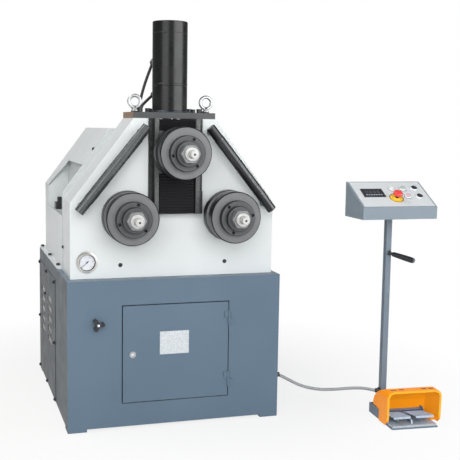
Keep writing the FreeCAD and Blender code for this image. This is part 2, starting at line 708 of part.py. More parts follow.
def piston_rod():
    z1 = 1560.0
    shape = turned([(0, BLOCK_HIGH), (ROD_R, BLOCK_HIGH), (ROD_R, z1), (BORE_R - 0.1, z1),
                    (BORE_R - 0.1, z1 + 50), (0, z1 + 50)], (0, CYLINDER_Y, 0), Z)
    save("piston_rod", shape)


def top_motor():
    flange = box(-60, 60, BLOCK_BACK, BLOCK_BACK + 16, TOP_ROLL_Z - 60, TOP_ROLL_Z + 60)
    body = turned([(0, BLOCK_BACK + 16), (50, BLOCK_BACK + 16), (50, -130), (44, -122), (44, -100),
                   (0, -100)], (0, 0, TOP_ROLL_Z), Y)
    save("top_motor", flange.fuse(body))


def bellows(name, low, high, pleats):
    """Closed concertina: pleated front and flat back, inside the slot."""
    front, fold, back = -504.0, 7.0, -484.0
    pitch = (high - low) / pleats
    outline = [(back, low), (front + fold, low)]
    for pleat in range(pleats):
        outline.append((front, low + (pleat + 0.5) * pitch))
        outline.append((front + fold, low + (pleat + 1) * pitch))
    outline.append((back, high))
    save(name, prism_yz(outline, -SLOT_HALF + 21, SLOT_HALF - 21))


# ---- inside the cabinet ---------------------------------------------------------------
def power_pack():
    base = FOOT_HEIGHT + SHEET
    tank = box(-380, 20, 60, 440, base, base + 290)
    tank = tank.cut(box(-376, 16, 64, 436, base + 4, base + 284))
    cap = turned([(0, 0), (22, 0), (22, 18), (16, 24), (0, 24)], (-60, 110, base + 290), Z)
    motor = turned([(0, 0), (90, 0), (90, 14), (82, 18), (82, 190), (88, 194), (88, 226), (78, 236),
                    (0, 236)], (-220, 260, base + 290), Z)
    manifold = box(-70, 0, 210, 330, base + 290, base + 370)
    save("power_pack", tank, cap, motor, manifold)


def electrical_plate():
    inner = HALF_WIDTH - SHEET
    plate = box(inner - 20, inner - 17, -260, 240, 150, 560)
    blocks = []
    for row, count in ((470, 5), (350, 4), (230, 6)):
        for index in range(count):
            y = -230 + index * 75
            blocks.append(box(inner - 85, inner - 20, y, y + 55, row - 40, row + 40))
    rails = [box(inner - 17, inner, y, y + 20, 150, 560) for y in (-260, 220)]
    save("electrical_plate", plate, *blocks, *rails)


# ---- console --------------------------------------------------------------------------
def stand_local(shape):
    """Shapes of the foot switch are made square and turned with the stand plate."""
    moved = shape.copy()
    moved.rotate(V(0, 0, 0), Z, STAND_TURN)
    moved.translate(V(STAND_X, STAND_Y, 0))
    return moved


def console_stand():
    top = STAND_PLATE
    plate = box(0, STAND_WIDTH, 0, STAND_DEPTH, 0, top)
    cheek = prism_yz([(112, top), (STAND_DEPTH, top), (STAND_DEPTH, 42), (148, 42)], 0, 3)
    other = cheek.copy()
    other.translate(V(STAND_WIDTH - 3, 0, 0))
    upstand = box(0, STAND_WIDTH, STAND_DEPTH - 3, STAND_DEPTH, top, 42)
    base = stand_local(plate.fuse(cheek).fuse(other).fuse(upstand).removeSplitter())
    half = POST_SIDE / 2
    outer = box(POST_X - half, POST_X + half, POST_Y - half, POST_Y + half, top, CONSOLE_BOTTOM)
    inner = box(POST_X - half + 2, POST_X + half - 2, POST_Y - half + 2, POST_Y + half - 2,
                top, CONSOLE_BOTTOM)
    spindle = turned([(0, 0), (11, 0), (11, 5), (7, 7), (6, 16), (0, 16)], HANDLE_ROOT, HANDLE_WAY)
    core = turned([(0, 16), (5, 16), (5, 112), (9, 112), (9, 115), (0, 118)], HANDLE_ROOT, HANDLE_WAY)
    save("console_stand", base, outer.cut(inner), spindle.fuse(core).cut(outer))


HANDLE_ROOT = (POST_X, POST_Y - POST_SIDE / 2, 714.0)
HANDLE_WAY = V(78, -66, -26)


def handle_grip():
    bore = 5 + RUNNING_GAP
    grip = turned([(bore, 17), (9, 17), (10.5, 22), (11.5, 45), (12.5, 80), (12.5, 104), (11.5, 111),
                   (bore, 111)], HANDLE_ROOT, HANDLE_WAY)
    save("handle_grip", grip)


def console_box():
    back, front = CONSOLE_BACK, CONSOLE_FRONT
    profile = [(front, CONSOLE_BOTTOM), (back, CONSOLE_BOTTOM), (back, CONSOLE_BACK_TOP),
               (back - 8, CONSOLE_BACK_TOP), (front, CONSOLE_FRONT_TOP)]
    shell = prism_yz(profile, CONSOLE_LEFT, CONSOLE_RIGHT)
    inner = prism_yz([(front + 2, CONSOLE_BOTTOM + 2), (back - 2, CONSOLE_BOTTOM + 2),
                      (back - 2, CONSOLE_BACK_TOP - 3), (back - 8, CONSOLE_BACK_TOP - 3),
                      (front + 2, CONSOLE_FRONT_TOP - 1.2)], CONSOLE_LEFT + 2, CONSOLE_RIGHT - 2)
    shell = shell.cut(inner)
    for centre, radius in panel_holes():
        shell = shell.cut(aimed(rod(radius, (0, 0, -12), Z, 30), centre, panel_normal()))
    save("console_box", shell)


def panel_slope():
    run = CONSOLE_BACK - 8 - CONSOLE_FRONT
    rise = CONSOLE_BACK_TOP - CONSOLE_FRONT_TOP
    return math.atan2(rise, run)


def panel_normal():
    a = panel_slope()
    return V(0, -math.sin(a), math.cos(a))


def on_panel(x, up):
    """Point of the sloped face: x from its left edge, up from its front edge."""
    a = panel_slope()
    return (CONSOLE_LEFT + x, CONSOLE_FRONT + up * math.cos(a), CONSOLE_FRONT_TOP + up * math.sin(a))


BUTTONS = {"button_white": (184, 132), "button_green": (236, 132), "button_red": (236, 75)}
SELECTORS = {"selector_upper": (292, 135), "selector_lower": (291, 74)}
ESTOP = (178, 64)


def panel_holes():
    places = list(BUTTONS.values()) + list(SELECTORS.values()) + [ESTOP]
    return [(on_panel(*place), 11.0) for place in places]


def panel_placed(shape, place):
    """Shape with +Z out of the panel and +X along it, put at a panel place."""
    turned_shape = shape.copy()
    turned_shape.rotate(V(0, 0, 0), X, math.degrees(panel_slope()))
    turned_shape.translate(V(*on_panel(*place)))
    return turned_shape


def console_panel():
    plate = box(8, CONSOLE_RIGHT - CONSOLE_LEFT - 8, 6, 187, 0, 1.5)
    plate.rotate(V(0, 0, 0), X, math.degrees(panel_slope()))
    plate.translate(V(*on_panel(0, 0)))
    for centre, radius in panel_holes():
        plate = plate.cut(aimed(rod(radius, (0, 0, -12), Z, 30), centre, panel_normal()))
    solids = [plate]
    for place in list(BUTTONS.values()) + list(SELECTORS.values()):
        ring = turned([(9.05, -8), (11, -8), (11, 1.5), (14.5, 1.5), (14.5, 4), (12.5, 6), (9.05, 6)],
                      (0, 0, 0), Z)
        solids.append(panel_placed(ring, place))
    estop_plate = turned([(10, 1.5), (31, 1.5), (31, 3), (10, 3)], (0, 0, 0), Z)
    estop_body = turned([(8.05, -8), (11, -8), (11, 3), (17, 3), (17, 4), (15, 8), (8.05, 8)],
                        (0, 0, 0), Z).cut(tube(12, 11, (0, 0, 1.5), Z, 1.5))
    solids += [panel_placed(estop_plate.cut(rod(11, (0, 0, 0), Z, 5)), ESTOP),
               panel_placed(estop_body, ESTOP)]
    display = box(-49, 49, -28.5, 28.5, 1.5, 6)
    display = display.cut(box(-43, 43, -22.5, 22.5, 4, 7))
    solids.append(panel_placed(display, (84, 102)))
    save("console_panel", *solids)


def console_controls():
    for node, place in BUTTONS.items():
        cap = turned([(0, -6), (9, -6), (9, 9), (7.5, 10.5), (0, 10.5)], (0, 0, 0), Z)
        save(node, panel_placed(cap, place))
    for node, place in SELECTORS.items():
        dial = turned([(0, -6), (9, -6), (9, 6.5), (13, 6.5), (13, 9), (0, 9)], (0, 0, 0), Z)
        lever = box(-3.5, 3.5, -12, 12, 9, 13)
        save(node, panel_placed(dial.fuse(lever), place))
    stem = rod(8, (0, 0, -6), Z, 24)
    save("estop_stem", panel_placed(stem, ESTOP))
    cap = turned([(0, 18), (17, 18), (20, 21), (20, 30), (16, 35), (0, 36)], (0, 0, 0), Z)
    save("estop_cap", panel_placed(cap, ESTOP))


# ---- foot switch ----------------------------------------------------------------------
SWITCH_BASE_TOP = 14.0
HOOD_LEFT, HOOD_RIGHT = -14.0, 230.0
HOOD_TOP = 155.0
PEDAL_HINGE = (152.0, 21.5)
PEDALS = {"pedal_left": (13.0, 88.0), "pedal_right": (112.0, 193.0)}
TREAD_FRONT, TREAD_LIFT, TREAD_TILT = 12.0, 5.0, 8.0
SPRING_TOP = 38.5


def switch_base():
    plate = box(4, 202, 4, 186, STAND_PLATE, SWITCH_BASE_TOP)
    housing = box(8, 198, 146, 172, SWITCH_BASE_TOP, 34)
    housing = housing.cut(box(11, 195, 140, 164, SWITCH_BASE_TOP, 31.5))
    divider = prism_yz([(24, SWITCH_BASE_TOP), (165, SWITCH_BASE_TOP), (165, 33), (140, 33),
                        (60, 38), (32, 30)], 97, 103)
    pins = [rod(3, (x0, PEDAL_HINGE[0], PEDAL_HINGE[1]), X, x1 - x0) for x0, x1 in ((9, 98), (102, 197))]
    save("switch_base", stand_local(plate.fuse(housing).fuse(divider).fuse(pins[0]).fuse(pins[1])))


def switch_hood():
    """Moulded guard: open front, rounded roof, chamfered feet, four slots in the roof."""
    left, right, top = HOOD_LEFT, HOOD_RIGHT, HOOD_TOP
    side = [(26, 30), (48, 8), (112, 8), (112, 60), (178, 60), (178, 74), (172, 92), (156, 110),
            (130, 129), (102, 143), (72, top), (22, top)]
    body = prism_yz(side, left, right)
    front_view = [(left, 8), (right, 8), (right, top - 26), (right - 4, top - 13),
                  (right - 13, top - 4), (right - 26, top), (left + 26, top), (left + 13, top - 4),
                  (left + 4, top - 13), (left, top - 26)]
    body = body.common(prism_xz(front_view, 0, 240))
    wall = 4.0
    hollow_side = [(0, 0), (174, 0), (174, 73), (168.4, 90), (153.2, 107.1), (127.8, 125.5),
                   (100.4, 139.3), (71, top - wall), (0, top - wall)]
    hollow = prism_yz(hollow_side, left + wall, right - wall)
    inner_view = [(left + wall, 0), (right - wall, 0), (right - wall, top - 28),
                  (right - 8, top - 16), (right - 16, top - 8), (right - 28, top - wall),
                  (left + 28, top - wall), (left + 16, top - 8), (left + 8, top - 16),
                  (left + wall, top - 28)]
    body = body.cut(hollow.common(prism_xz(inner_view, -1, 241)))
    rim = prism_yz(side, left, right).common(prism_xz(front_view, 20, 32))
    opening = [(left + 9, 0), (right - 9, 0), (right - 9, top - 29), (right - 13, top - 18),
               (right - 18, top - 13), (right - 29, top - 9), (left + 29, top - 9),
               (left + 18, top - 13), (left + 13, top - 18), (left + 9, top - 29)]
    body = body.fuse(rim.cut(prism_xz(opening, 19, 33)))
    rear = box(left + wall, right - wall, 174, 178, 14, 76).cut(box(left, 3.5, 173, 179, 13, 60))
    for cheek in (0, STAND_WIDTH - 3):
        rear = rear.cut(box(cheek - 0.5, cheek + 3.5, 173, 179, 13, 42.5))
    body = body.fuse(rear).fuse(box(right - wall, right, 100, 178, 8, 62))
    for x in (22.5, 57.5, 158.5, 190.5):
        slot = box(x - 5.5, x + 5.5, 43, 57, top - 12, top + 1)
        for end in (-5.5, 5.5):
            slot = slot.fuse(rod(7, (x + end, 50, top - 12), Z, 13))
        body = body.cut(slot)
    low, high = SWITCH_BASE_TOP, SWITCH_BASE_TOP + 4
    lips = [box(left + wall, 8, 56, 106, low, high), box(198, right - wall, 56, 106, low, high)]
    save("switch_hood", stand_local(body.fuse(lips[0]).fuse(lips[1]).removeSplitter()))


def pedals():
    y_hinge, z_hinge = PEDAL_HINGE
    for node, (x0, x1) in PEDALS.items():
        under = z_hinge + TREAD_LIFT
        tread = box(x0, x1, TREAD_FRONT, 130, under, under + 3)
        lip = box(x0, x1, TREAD_FRONT, TREAD_FRONT + 3, under - 6, under)
        ears = [box(x, x + 3, 120, 156, z_hinge - 5.5, under) for x in (x0 + 4, x1 - 7)]
        shape = tread.fuse(lip).fuse(ears[0]).fuse(ears[1]).removeSplitter()
        shape = shape.cut(rod(3 + RUNNING_GAP, (x0, y_hinge, z_hinge), X, x1 - x0))
        shape.rotate(V(0, y_hinge, z_hinge), X, -TREAD_TILT)
        save(node, stand_local(shape))
    springs = [tube(8, 6, ((x0 + x1) / 2, 56, SWITCH_BASE_TOP), Z, SPRING_TOP - SWITCH_BASE_TOP)
               for x0, x1 in PEDALS.values()]
    save("pedal_springs", *[stand_local(spring) for spring in springs])


def conduit():
    save("conduit", routed_tube(CONDUIT, CONDUIT_R, "conduit"))


def main():
    os.makedirs("parts", exist_ok=True)
    for make in (cabinet_front, cabinet_shell, foot_pads, vent_cover, door, hinge_lower_halves,
                 door_lock_cam, valve_knob, cable_glands, head_front_plate, head_frame, head_bolts,
                 side_cover_left, rear_covers, inner_frame, slide_ways, top_plate, lifting_eyes,
                 hydraulic_cylinder, hydraulic_fittings, cylinder_hoses, guide_bars, gauge,
                 shaft_bearings, position_switches, drive_gears, drive_motor, roll_sets, slide_block,
                 piston_rod, top_motor, power_pack, electrical_plate, console_stand, handle_grip,
                 console_box, console_panel, console_controls, switch_base, switch_hood, pedals,
                 conduit):
        make()
    bellows("lower_bellows", SLOT_BOTTOM, BLOCK_LOW, 14)
    bellows("upper_bellows", BLOCK_HIGH, HEAD_TOP - 2, 5)


main()
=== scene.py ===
import json
import math

import bmesh
import bpy
from mathutils import Matrix, Vector


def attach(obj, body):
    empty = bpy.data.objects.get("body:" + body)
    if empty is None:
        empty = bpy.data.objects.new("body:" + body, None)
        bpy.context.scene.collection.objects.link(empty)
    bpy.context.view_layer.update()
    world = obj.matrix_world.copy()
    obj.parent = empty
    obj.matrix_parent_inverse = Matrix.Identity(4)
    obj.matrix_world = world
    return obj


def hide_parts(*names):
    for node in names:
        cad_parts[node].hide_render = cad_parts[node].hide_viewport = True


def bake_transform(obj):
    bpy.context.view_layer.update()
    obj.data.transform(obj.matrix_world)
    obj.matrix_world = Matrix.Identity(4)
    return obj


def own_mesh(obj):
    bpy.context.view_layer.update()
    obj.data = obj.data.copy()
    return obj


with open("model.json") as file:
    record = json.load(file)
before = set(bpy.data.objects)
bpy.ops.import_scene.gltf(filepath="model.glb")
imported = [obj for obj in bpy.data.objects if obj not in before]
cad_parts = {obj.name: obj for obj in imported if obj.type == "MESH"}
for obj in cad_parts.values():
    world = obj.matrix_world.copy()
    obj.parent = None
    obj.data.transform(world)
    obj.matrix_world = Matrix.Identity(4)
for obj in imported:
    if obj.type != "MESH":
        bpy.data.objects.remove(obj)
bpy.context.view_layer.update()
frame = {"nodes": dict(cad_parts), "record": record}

# ---- Camera ----
# It stands four metres in front of the machine, to the operator's left and at head height,
# and looks slightly down.
eye, turn, dip, lean = (-0.9085, -4.0472, 1.2491), 0.31065, 0.11640, 0.015625
ahead = Vector((math.sin(turn) * math.cos(dip), math.cos(turn) * math.cos(dip), -math.sin(dip)))
level = Vector((math.cos(turn), -math.sin(turn), 0))
upright = level.cross(ahead)
right = level * math.cos(lean) + upright * math.sin(lean)
up = upright * math.cos(lean) - level * math.sin(lean)
camera_data = bpy.data.cameras.new("camera")
camera_data.sensor_width, camera_data.lens = 36.0, 70.2
camera = bpy.data.objects.new("camera", camera_data)
bpy.context.scene.collection.objects.link(camera)
camera.matrix_world = Matrix.Translation(eye) @ Matrix((right, up, -ahead)).transposed().to_4x4()
bpy.context.scene.camera = camera


# ---- Cabinet ----
# A folded sheet-steel box on four foot pads, powder coated blue-grey, with a bolted deck.
# The coat is slightly pebbled and a little uneven in tone. The left side is a darker copy of the
# coat, painted shade; upward faces are paler, partly dust and partly painted light from above.
def joined(tree, kind, feeds=None, **settings):
    """Add a node. feeds maps an input's name or number to a value or to a feeding socket."""
    node = tree.nodes.new(kind)
    for key, value in settings.items():
        setattr(node, key, value)
    for key, value in (feeds or {}).items():
        if isinstance(value, bpy.types.NodeSocket):
            tree.links.new(value, node.inputs[key])
        else:
            node.inputs[key].default_value = value
    return node


def made(tree, kind, feeds=None, **settings):
    """Add a node and give its first output."""
    return joined(tree, kind, feeds, **settings).outputs[0]


def worked(tree, how, *values):
    """One step of arithmetic."""
    return made(tree, "ShaderNodeMath", dict(enumerate(values)), operation=how)


def xyz(tree, **parts):
    return made(tree, "ShaderNodeCombineXYZ", parts)


def noise(tree, place, scale, detail):
    return made(tree, "ShaderNodeTexNoise", {"Vector": place, "Scale": scale, "Detail": detail})


def spread(tree, value, low, high, to_low, to_high):
    """Map a value from one range to another, clamped."""
    return made(tree, "ShaderNodeMapRange", {
        "Value": value, "From Min": low, "From Max": high, "To Min": to_low, "To Max": to_high})


def mixed(tree, factor, first, second):
    return joined(tree, "ShaderNodeMix", {"Factor": factor, 6: first, 7: second},
                  data_type="RGBA").outputs[2]


def shaded(tree, cloud, low, high, darkest, lightest, colour):
    """The colour, darker and lighter as the cloud goes from low to high."""
    tone = spread(tree, cloud, low, high, darkest, lightest)
    return made(tree, "ShaderNodeHueSaturation", {"Value": tone, "Color": colour})


def uneven(tree, cloud, low, high, given):
    """The given colour, made as uneven as the group's input says."""
    less = worked(tree, "SUBTRACT", 1.0, given["Unevenness"])
    more = worked(tree, "ADD", 1.0, given["Unevenness"])
    return shaded(tree, cloud, low, high, less, more, given["Colour"])


def relief(tree, height, strength, distance=0.001):
    return made(tree, "ShaderNodeBump", {
        "Height": height, "Strength": strength, "Distance": distance})


def add_inputs(tree, inputs):
    """Add a group's inputs, each of the kind that its first value shows."""
    for label, value in inputs.items():
        kind = {int: "Int", float: "Float"}.get(type(value)) or (
            "Color" if len(value) == 4 else "Vector")
        socket = tree.interface.new_socket(label, in_out="INPUT", socket_type="NodeSocket" + kind)
        socket.default_value = value


def shader_group(name, inputs):
    """A group that puts out a colour, a roughness and a normal; gives its inputs and place."""
    tree = bpy.data.node_groups.new(name, "ShaderNodeTree")
    add_inputs(tree, inputs)
    for label, kind in (("Colour", "Color"), ("Roughness", "Float"), ("Normal", "Vector")):
        tree.interface.new_socket(label, in_out="OUTPUT", socket_type="NodeSocket" + kind)
    place = joined(tree, "ShaderNodeTexCoord").outputs["Object"]
    return tree, joined(tree, "NodeGroupInput").outputs, place


mid_grey = (0.5, 0.5, 0.5, 1)


def coat_group():
    """Sprayed coat: pebbled surface, uneven tone, and a pale tone on upward faces that is partly
    settled dust and partly painted light from above.
    """
    tree, given, place = shader_group("sprayed coat", {
        "Colour": mid_grey, "Unevenness": 0.05, "Pebble Size": 700.0, "Pebble Depth": 0.12,
        "Roughness": 0.4, "Dust And Top Light": 0.3})
    shade = uneven(tree, noise(tree, place, 3.1, 4.0), 0.32, 0.68, given)
    facing = joined(tree, "ShaderNodeNewGeometry").outputs["Normal"]
    upward = spread(tree, joined(tree, "ShaderNodeSeparateXYZ", {0: facing}).outputs["Z"],
                    0.5, 1.0, 0.0, 1.0)
    settled = spread(tree, noise(tree, place, 60.0, 5.0), 0.35, 0.75, 0.2, 1.0)
    # Paler on upward faces: partly dust, partly painted light from above.
    amount = worked(tree, "MULTIPLY", worked(tree, "MULTIPLY", upward, settled), given["Dust And Top Light"])
    drift = spread(tree, noise(tree, place, 14.0, 6.0), 0.3, 0.7, -0.05, 0.07)
    pebbles = noise(tree, place, given["Pebble Size"], 2.0)
    joined(tree, "NodeGroupOutput", {
        "Colour": mixed(tree, amount, shade, (0.55, 0.54, 0.52, 1)),
        "Roughness": worked(tree, "ADD", given["Roughness"], drift),
        "Normal": relief(tree, pebbles, given["Pebble Depth"])})
    return tree


sprayed = coat_group()


def finish_of(name, metallic=0.0, roughness=0.5, specular=0.5, coat=0.0):
    """A material with one Principled shader; gives the material and the shader."""
    material = bpy.data.materials.new(name)
    material.use_nodes = True
    shader = material.node_tree.nodes["Principled BSDF"]
    for key, value in (("Metallic", metallic), ("Roughness", roughness),
                       ("Specular IOR Level", specular), ("Coat Weight", coat)):
        shader.inputs[key].default_value = value
    return material, shader


def layered(name, group, values, metallic=0.0, specular=0.5, coat=0.0, even=False):
    """A material whose group gives colour, roughness and normal. An even one keeps one gloss."""
    material, shader = finish_of(name, metallic, values["Roughness"], specular, coat)
    tree = material.node_tree
    layer = joined(tree, "ShaderNodeGroup", values, node_tree=group)
    tree.links.new(layer.outputs["Colour"], shader.inputs["Base Color"])
    if not even:
        tree.links.new(layer.outputs["Roughness"], shader.inputs["Roughness"])
    tree.links.new(layer.outputs["Normal"], shader.inputs["Normal"])
    return material


def painted(name, colour, roughness=0.42, unevenness=0.04, pebble=0.10, size=650.0, dust_and_top_light=0.25,
            specular=0.5, coat=0.0, even=False):
    return layered(name, sprayed, {
        "Colour": (*colour, 1), "Unevenness": unevenness, "Pebble Size": size,
        "Pebble Depth": pebble, "Roughness": roughness, "Dust And Top Light": dust_and_top_light},
        specular=specular, coat=coat, even=even)


body_names = {node: body for body, nodes in frame["record"]["behaviour"]["bodies"].items()
              for node in nodes}
slot_names = {part["node"]: part["material_slot"] for part in frame["record"]["subparts"]}


def solids_of(node):
    """The closed solids of a CAD node as separate meshes, with each flat face made whole."""
    whole = bmesh.new()
    whole.from_mesh(frame["nodes"][node].data)
    bmesh.ops.remove_doubles(whole, verts=whole.verts[:], dist=1e-6)
    left = set(whole.faces)
    solids = []
    for first in whole.faces:
        if first not in left:
            continue
        left.remove(first)
        reached, group = [first], []
        while reached:
            face = reached.pop()
            group.append(face)
            for edge in face.edges:
                if len(edge.link_faces) == 2:
                    for other in edge.link_faces:
                        if other in left:
                            left.remove(other)
                            reached.append(other)
        solid = bmesh.new()
        corners = {}
        for face in group:
            for vert in face.verts:
                if vert not in corners:
                    corners[vert] = solid.verts.new(vert.co)
            solid.faces.new([corners[vert] for vert in face.verts])
        solid.normal_update()
        bmesh.ops.dissolve_limit(solid, angle_limit=0.008, verts=solid.verts[:],
                                 edges=solid.edges[:])
        solids.append(solid)
    whole.free()
    return solids


def evaluated(obj):
    """The object's shape with its modifiers, or a curve's or text's shape, as a plain mesh."""
    return bpy.data.meshes.new_from_object(
        obj.evaluated_get(bpy.context.evaluated_depsgraph_get()))


def baked(obj):
    """Keep the object's evaluated shape as its plain mesh, with no modifiers."""
    shape = evaluated(obj)
    obj.modifiers.clear()
    obj.data = shape
    return obj


def piece(name, mesh):
    obj = bpy.data.objects.new(name, mesh)
    bpy.context.scene.collection.objects.link(obj)
    return obj


def rounded(obj, edge=0.0, angle=28, segments=2):
    """Round the sharp edges, so that they catch the light as real ones do."""
    obj.data.shade_smooth()
    if edge:
        bevel = obj.modifiers.new("edges", "BEVEL")
        bevel.width = edge
        bevel.segments = segments
        bevel.limit_method = "ANGLE"
        bevel.angle_limit = math.radians(angle)
        bevel.use_clamp_overlap = True
    flat = obj.modifiers.new("faces", "WEIGHTED_NORMAL")
    flat.keep_sharp = True
    flat.weight = 60
    return baked(obj)


def carried(obj, body, slot, *nodes):
    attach(obj, body)
    if nodes:
        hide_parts(*nodes)
    return obj


def finished(node, edge, *choices, angle=28, segments=2):
    """A copy of a CAD node with rounded edges. A choice is a material, or (material, rule)
    for the solids whose lowest and highest corners meet the rule."""
    mesh = bpy.data.meshes.new(node + "_finish")
    gathered = bmesh.new()
    for solid in solids_of(node):
        low = Vector(min(v.co[i] for v in solid.verts) for i in range(3))
        high = Vector(max(v.co[i] for v in solid.verts) for i in range(3))
        for index, choice in enumerate(choices):
            if not isinstance(choice, tuple) or choice[1](low, high):
                break
        for face in solid.faces:
            face.material_index = index
        part = bpy.data.meshes.new("part")
        solid.to_mesh(part)
        solid.free()
        gathered.from_mesh(part)
        bpy.data.meshes.remove(part)
    gathered.to_mesh(mesh)
    gathered.free()
    for choice in choices:
        mesh.materials.append(choice[0] if isinstance(choice, tuple) else choice)
    obj = rounded(piece(node + "_finish", mesh), edge, angle, segments)
    return carried(obj, body_names[node], slot_names[node], node)


def repainted(obj, material, rule):
    """Give one more material to the faces that meet the rule."""
    obj.data.materials.append(material)
    for face in obj.data.polygons:
        if rule(face):
            face.material_index = len(obj.data.materials) - 1


cabinet_coat = painted("cabinet powder coat", (0.122, 0.178, 0.240), 0.44, dust_and_top_light=0.30,
                       specular=0.18)
# The left side's coat is a darker copy of the cabinet's: painted shade.
shaded_side_coat = painted("cabinet left side, painted shade", (0.088, 0.105, 0.121), 0.46, dust_and_top_light=0.30, specular=0.18)
left_side = -0.44
for node in ("cabinet_front", "cabinet_shell", "foot_pads"):
    repainted(finished(node, 0.0014, cabinet_coat), shaded_side_coat,
              lambda face: face.normal.x < -0.9 and face.center.x < left_side)


# ---- Vent cover ----
# A flat cover screwed over the left side's opening, with two columns of louvre slots.
# A pale mat lies behind the slots, painted pale to stand in for light seen through them;
# button-head screws hold the cover.
def geometry_tree(name, inputs):
    """A tree with these inputs and a material; gives the tree and the inputs' sockets."""
    tree = bpy.data.node_groups.new(name, "GeometryNodeTree")
    tree.interface.new_socket("Geometry", in_out="INPUT", socket_type="NodeSocketGeometry")
    add_inputs(tree, inputs)
    tree.interface.new_socket("Material", in_out="INPUT", socket_type="NodeSocketMaterial")
    tree.interface.new_socket("Geometry", in_out="OUTPUT", socket_type="NodeSocketGeometry")
    return tree, joined(tree, "NodeGroupInput").outputs


def end_tree(tree, shape, given):
    real = made(tree, "GeometryNodeRealizeInstances", {"Geometry": shape})
    dressed = made(tree, "GeometryNodeSetMaterial",
                   {"Geometry": real, "Material": given["Material"]})
    joined(tree, "NodeGroupOutput", {"Geometry": dressed})
    return tree


def placed_on(tree, points, shape, given, **turning):
    """End the tree with the shape on every point."""
    return end_tree(tree, made(tree, "GeometryNodeInstanceOnPoints", {
        "Points": points, "Instance": shape, **turning}), given)


def grown(name, tree, values, points=((0, 0, 0),), lines=()):
    """Run a geometry tree on points, or on lines between them, and keep its plain mesh."""
    seed = bpy.data.meshes.new(name)
    seed.from_pydata([tuple(p) for p in points], list(lines), [])
    obj = piece(name, seed)
    work = obj.modifiers.new("tree", "NODES")
    work.node_group = tree
    for item in tree.interface.items_tree:
        if item.in_out == "INPUT" and item.name in values:
            work[item.identifier] = values[item.name]
    return baked(obj)


def solid_piece(name, bm, material):
    mesh = bpy.data.meshes.new(name)
    bm.to_mesh(mesh)
    bm.free()
    mesh.materials.append(material)
    return piece(name, mesh)


def lathe(name, profile, material, base=(0, 0, 0), along=(0, 0, 1), steps=48):
    """Spin (radius, distance) points about a line through base, closed at both ends."""
    bm = bmesh.new()
    verts = [bm.verts.new((r, 0, d)) for r, d in profile]
    for first, last in zip(verts, verts[1:]):
        bm.edges.new((first, last))
    bmesh.ops.spin(bm, geom=bm.verts[:] + bm.edges[:], cent=(0, 0, 0), axis=(0, 0, 1),
                   angle=2 * math.pi, steps=steps, use_merge=True, use_duplicate=False)
    bmesh.ops.remove_doubles(bm, verts=bm.verts[:], dist=1e-6)
    turn_to = Vector((0, 0, 1)).rotation_difference(Vector(along)).to_matrix().to_4x4()
    bmesh.ops.transform(bm, matrix=Matrix.Translation(base) @ turn_to, verts=bm.verts[:])
    bmesh.ops.recalc_face_normals(bm, faces=bm.faces[:])
    return solid_piece(name, bm, material)


def screw_rows():
    """One button-head screw with a hexagon socket on every point, pointing along Axis."""
    tree, given = geometry_tree("screws in place", {
        "Axis": (0.0, 0.0, 1.0), "Head Radius": 0.007, "Head Height": 0.005})
    radius, height = given["Head Radius"], given["Head Height"]
    head = made(tree, "GeometryNodeMeshCone", {
        "Vertices": 24, "Side Segments": 1, "Radius Top": radius, "Radius Bottom": radius,
        "Depth": height})
    dome = made(tree, "GeometryNodeMeshUVSphere", {"Segments": 24, "Rings": 12, "Radius": radius})
    crown = made(tree, "GeometryNodeTransform", {
        "Geometry": dome, "Translation": xyz(tree, Z=height),
        "Scale": xyz(tree, X=1.0, Y=1.0, Z=0.45)})
    solid = joined(tree, "GeometryNodeMeshBoolean", {"Mesh 2": head}, operation="UNION")
    tree.links.new(crown, solid.inputs["Mesh 2"])
    key_radius = worked(tree, "MULTIPLY", radius, 0.5)
    key = made(tree, "GeometryNodeMeshCone", {
        "Vertices": 6, "Radius Top": key_radius, "Radius Bottom": key_radius, "Depth": 0.03})
    sunk = xyz(tree, Z=worked(tree, "MULTIPLY", height, 0.9))
    lifted = made(tree, "GeometryNodeTransform", {"Geometry": key, "Translation": sunk})
    socketed = made(tree, "GeometryNodeMeshBoolean",
                    {"Mesh 1": solid.outputs[0], "Mesh 2": lifted}, operation="DIFFERENCE")
    aim = made(tree, "FunctionNodeAlignRotationToVector", {"Vector": given["Axis"]}, axis="Z")
    return placed_on(tree, given["Geometry"], socketed, given, Rotation=aim)


def handled_group():
    """Handled metal or plastic: fine grain, smudged gloss and edges worn to a lighter tone."""
    tree, given, place = shader_group("handled surface", {
        "Colour": mid_grey, "Unevenness": 0.08, "Grain": 60.0, "Grain Depth": 0.05,
        "Roughness": 0.3, "Wear": 0.0, "Worn Colour": mid_grey})
    smudge = noise(tree, place, 22.0, 6.0)
    shade = uneven(tree, smudge, 0.3, 0.7, given)
    ridge = joined(tree, "ShaderNodeNewGeometry").outputs["Pointiness"]
    edge = spread(tree, ridge, 0.52, 0.60, 0.0, 1.0)
    patchy = spread(tree, noise(tree, place, 140.0, 4.0), 0.4, 0.6, 0.25, 1.0)
    mask = worked(tree, "MULTIPLY", worked(tree, "MULTIPLY", edge, patchy), given["Wear"])
    drift = spread(tree, smudge, 0.3, 0.7, 0.06, -0.05)
    grain = noise(tree, place, given["Grain"], 4.0)
    joined(tree, "NodeGroupOutput", {
        "Colour": mixed(tree, mask, shade, given["Worn Colour"]),
        "Roughness": worked(tree, "ADD", given["Roughness"], drift),
        "Normal": relief(tree, grain, given["Grain Depth"])})
    return tree


handled, screws = handled_group(), screw_rows()


def metal(name, colour, roughness=0.3, streak=60.0, depth=0.05, metallic=1.0, wear=0.0,
          worn=(0.5, 0.5, 0.5), unevenness=0.08, specular=0.5):
    """Bare or blackened metal: fine grain, uneven gloss, and optional rubbed edges."""
    return layered(name, handled, {
        "Colour": (*colour, 1), "Unevenness": unevenness, "Grain": streak, "Grain Depth": depth,
        "Roughness": roughness, "Wear": wear, "Worn Colour": (*worn, 1)}, metallic, specular)


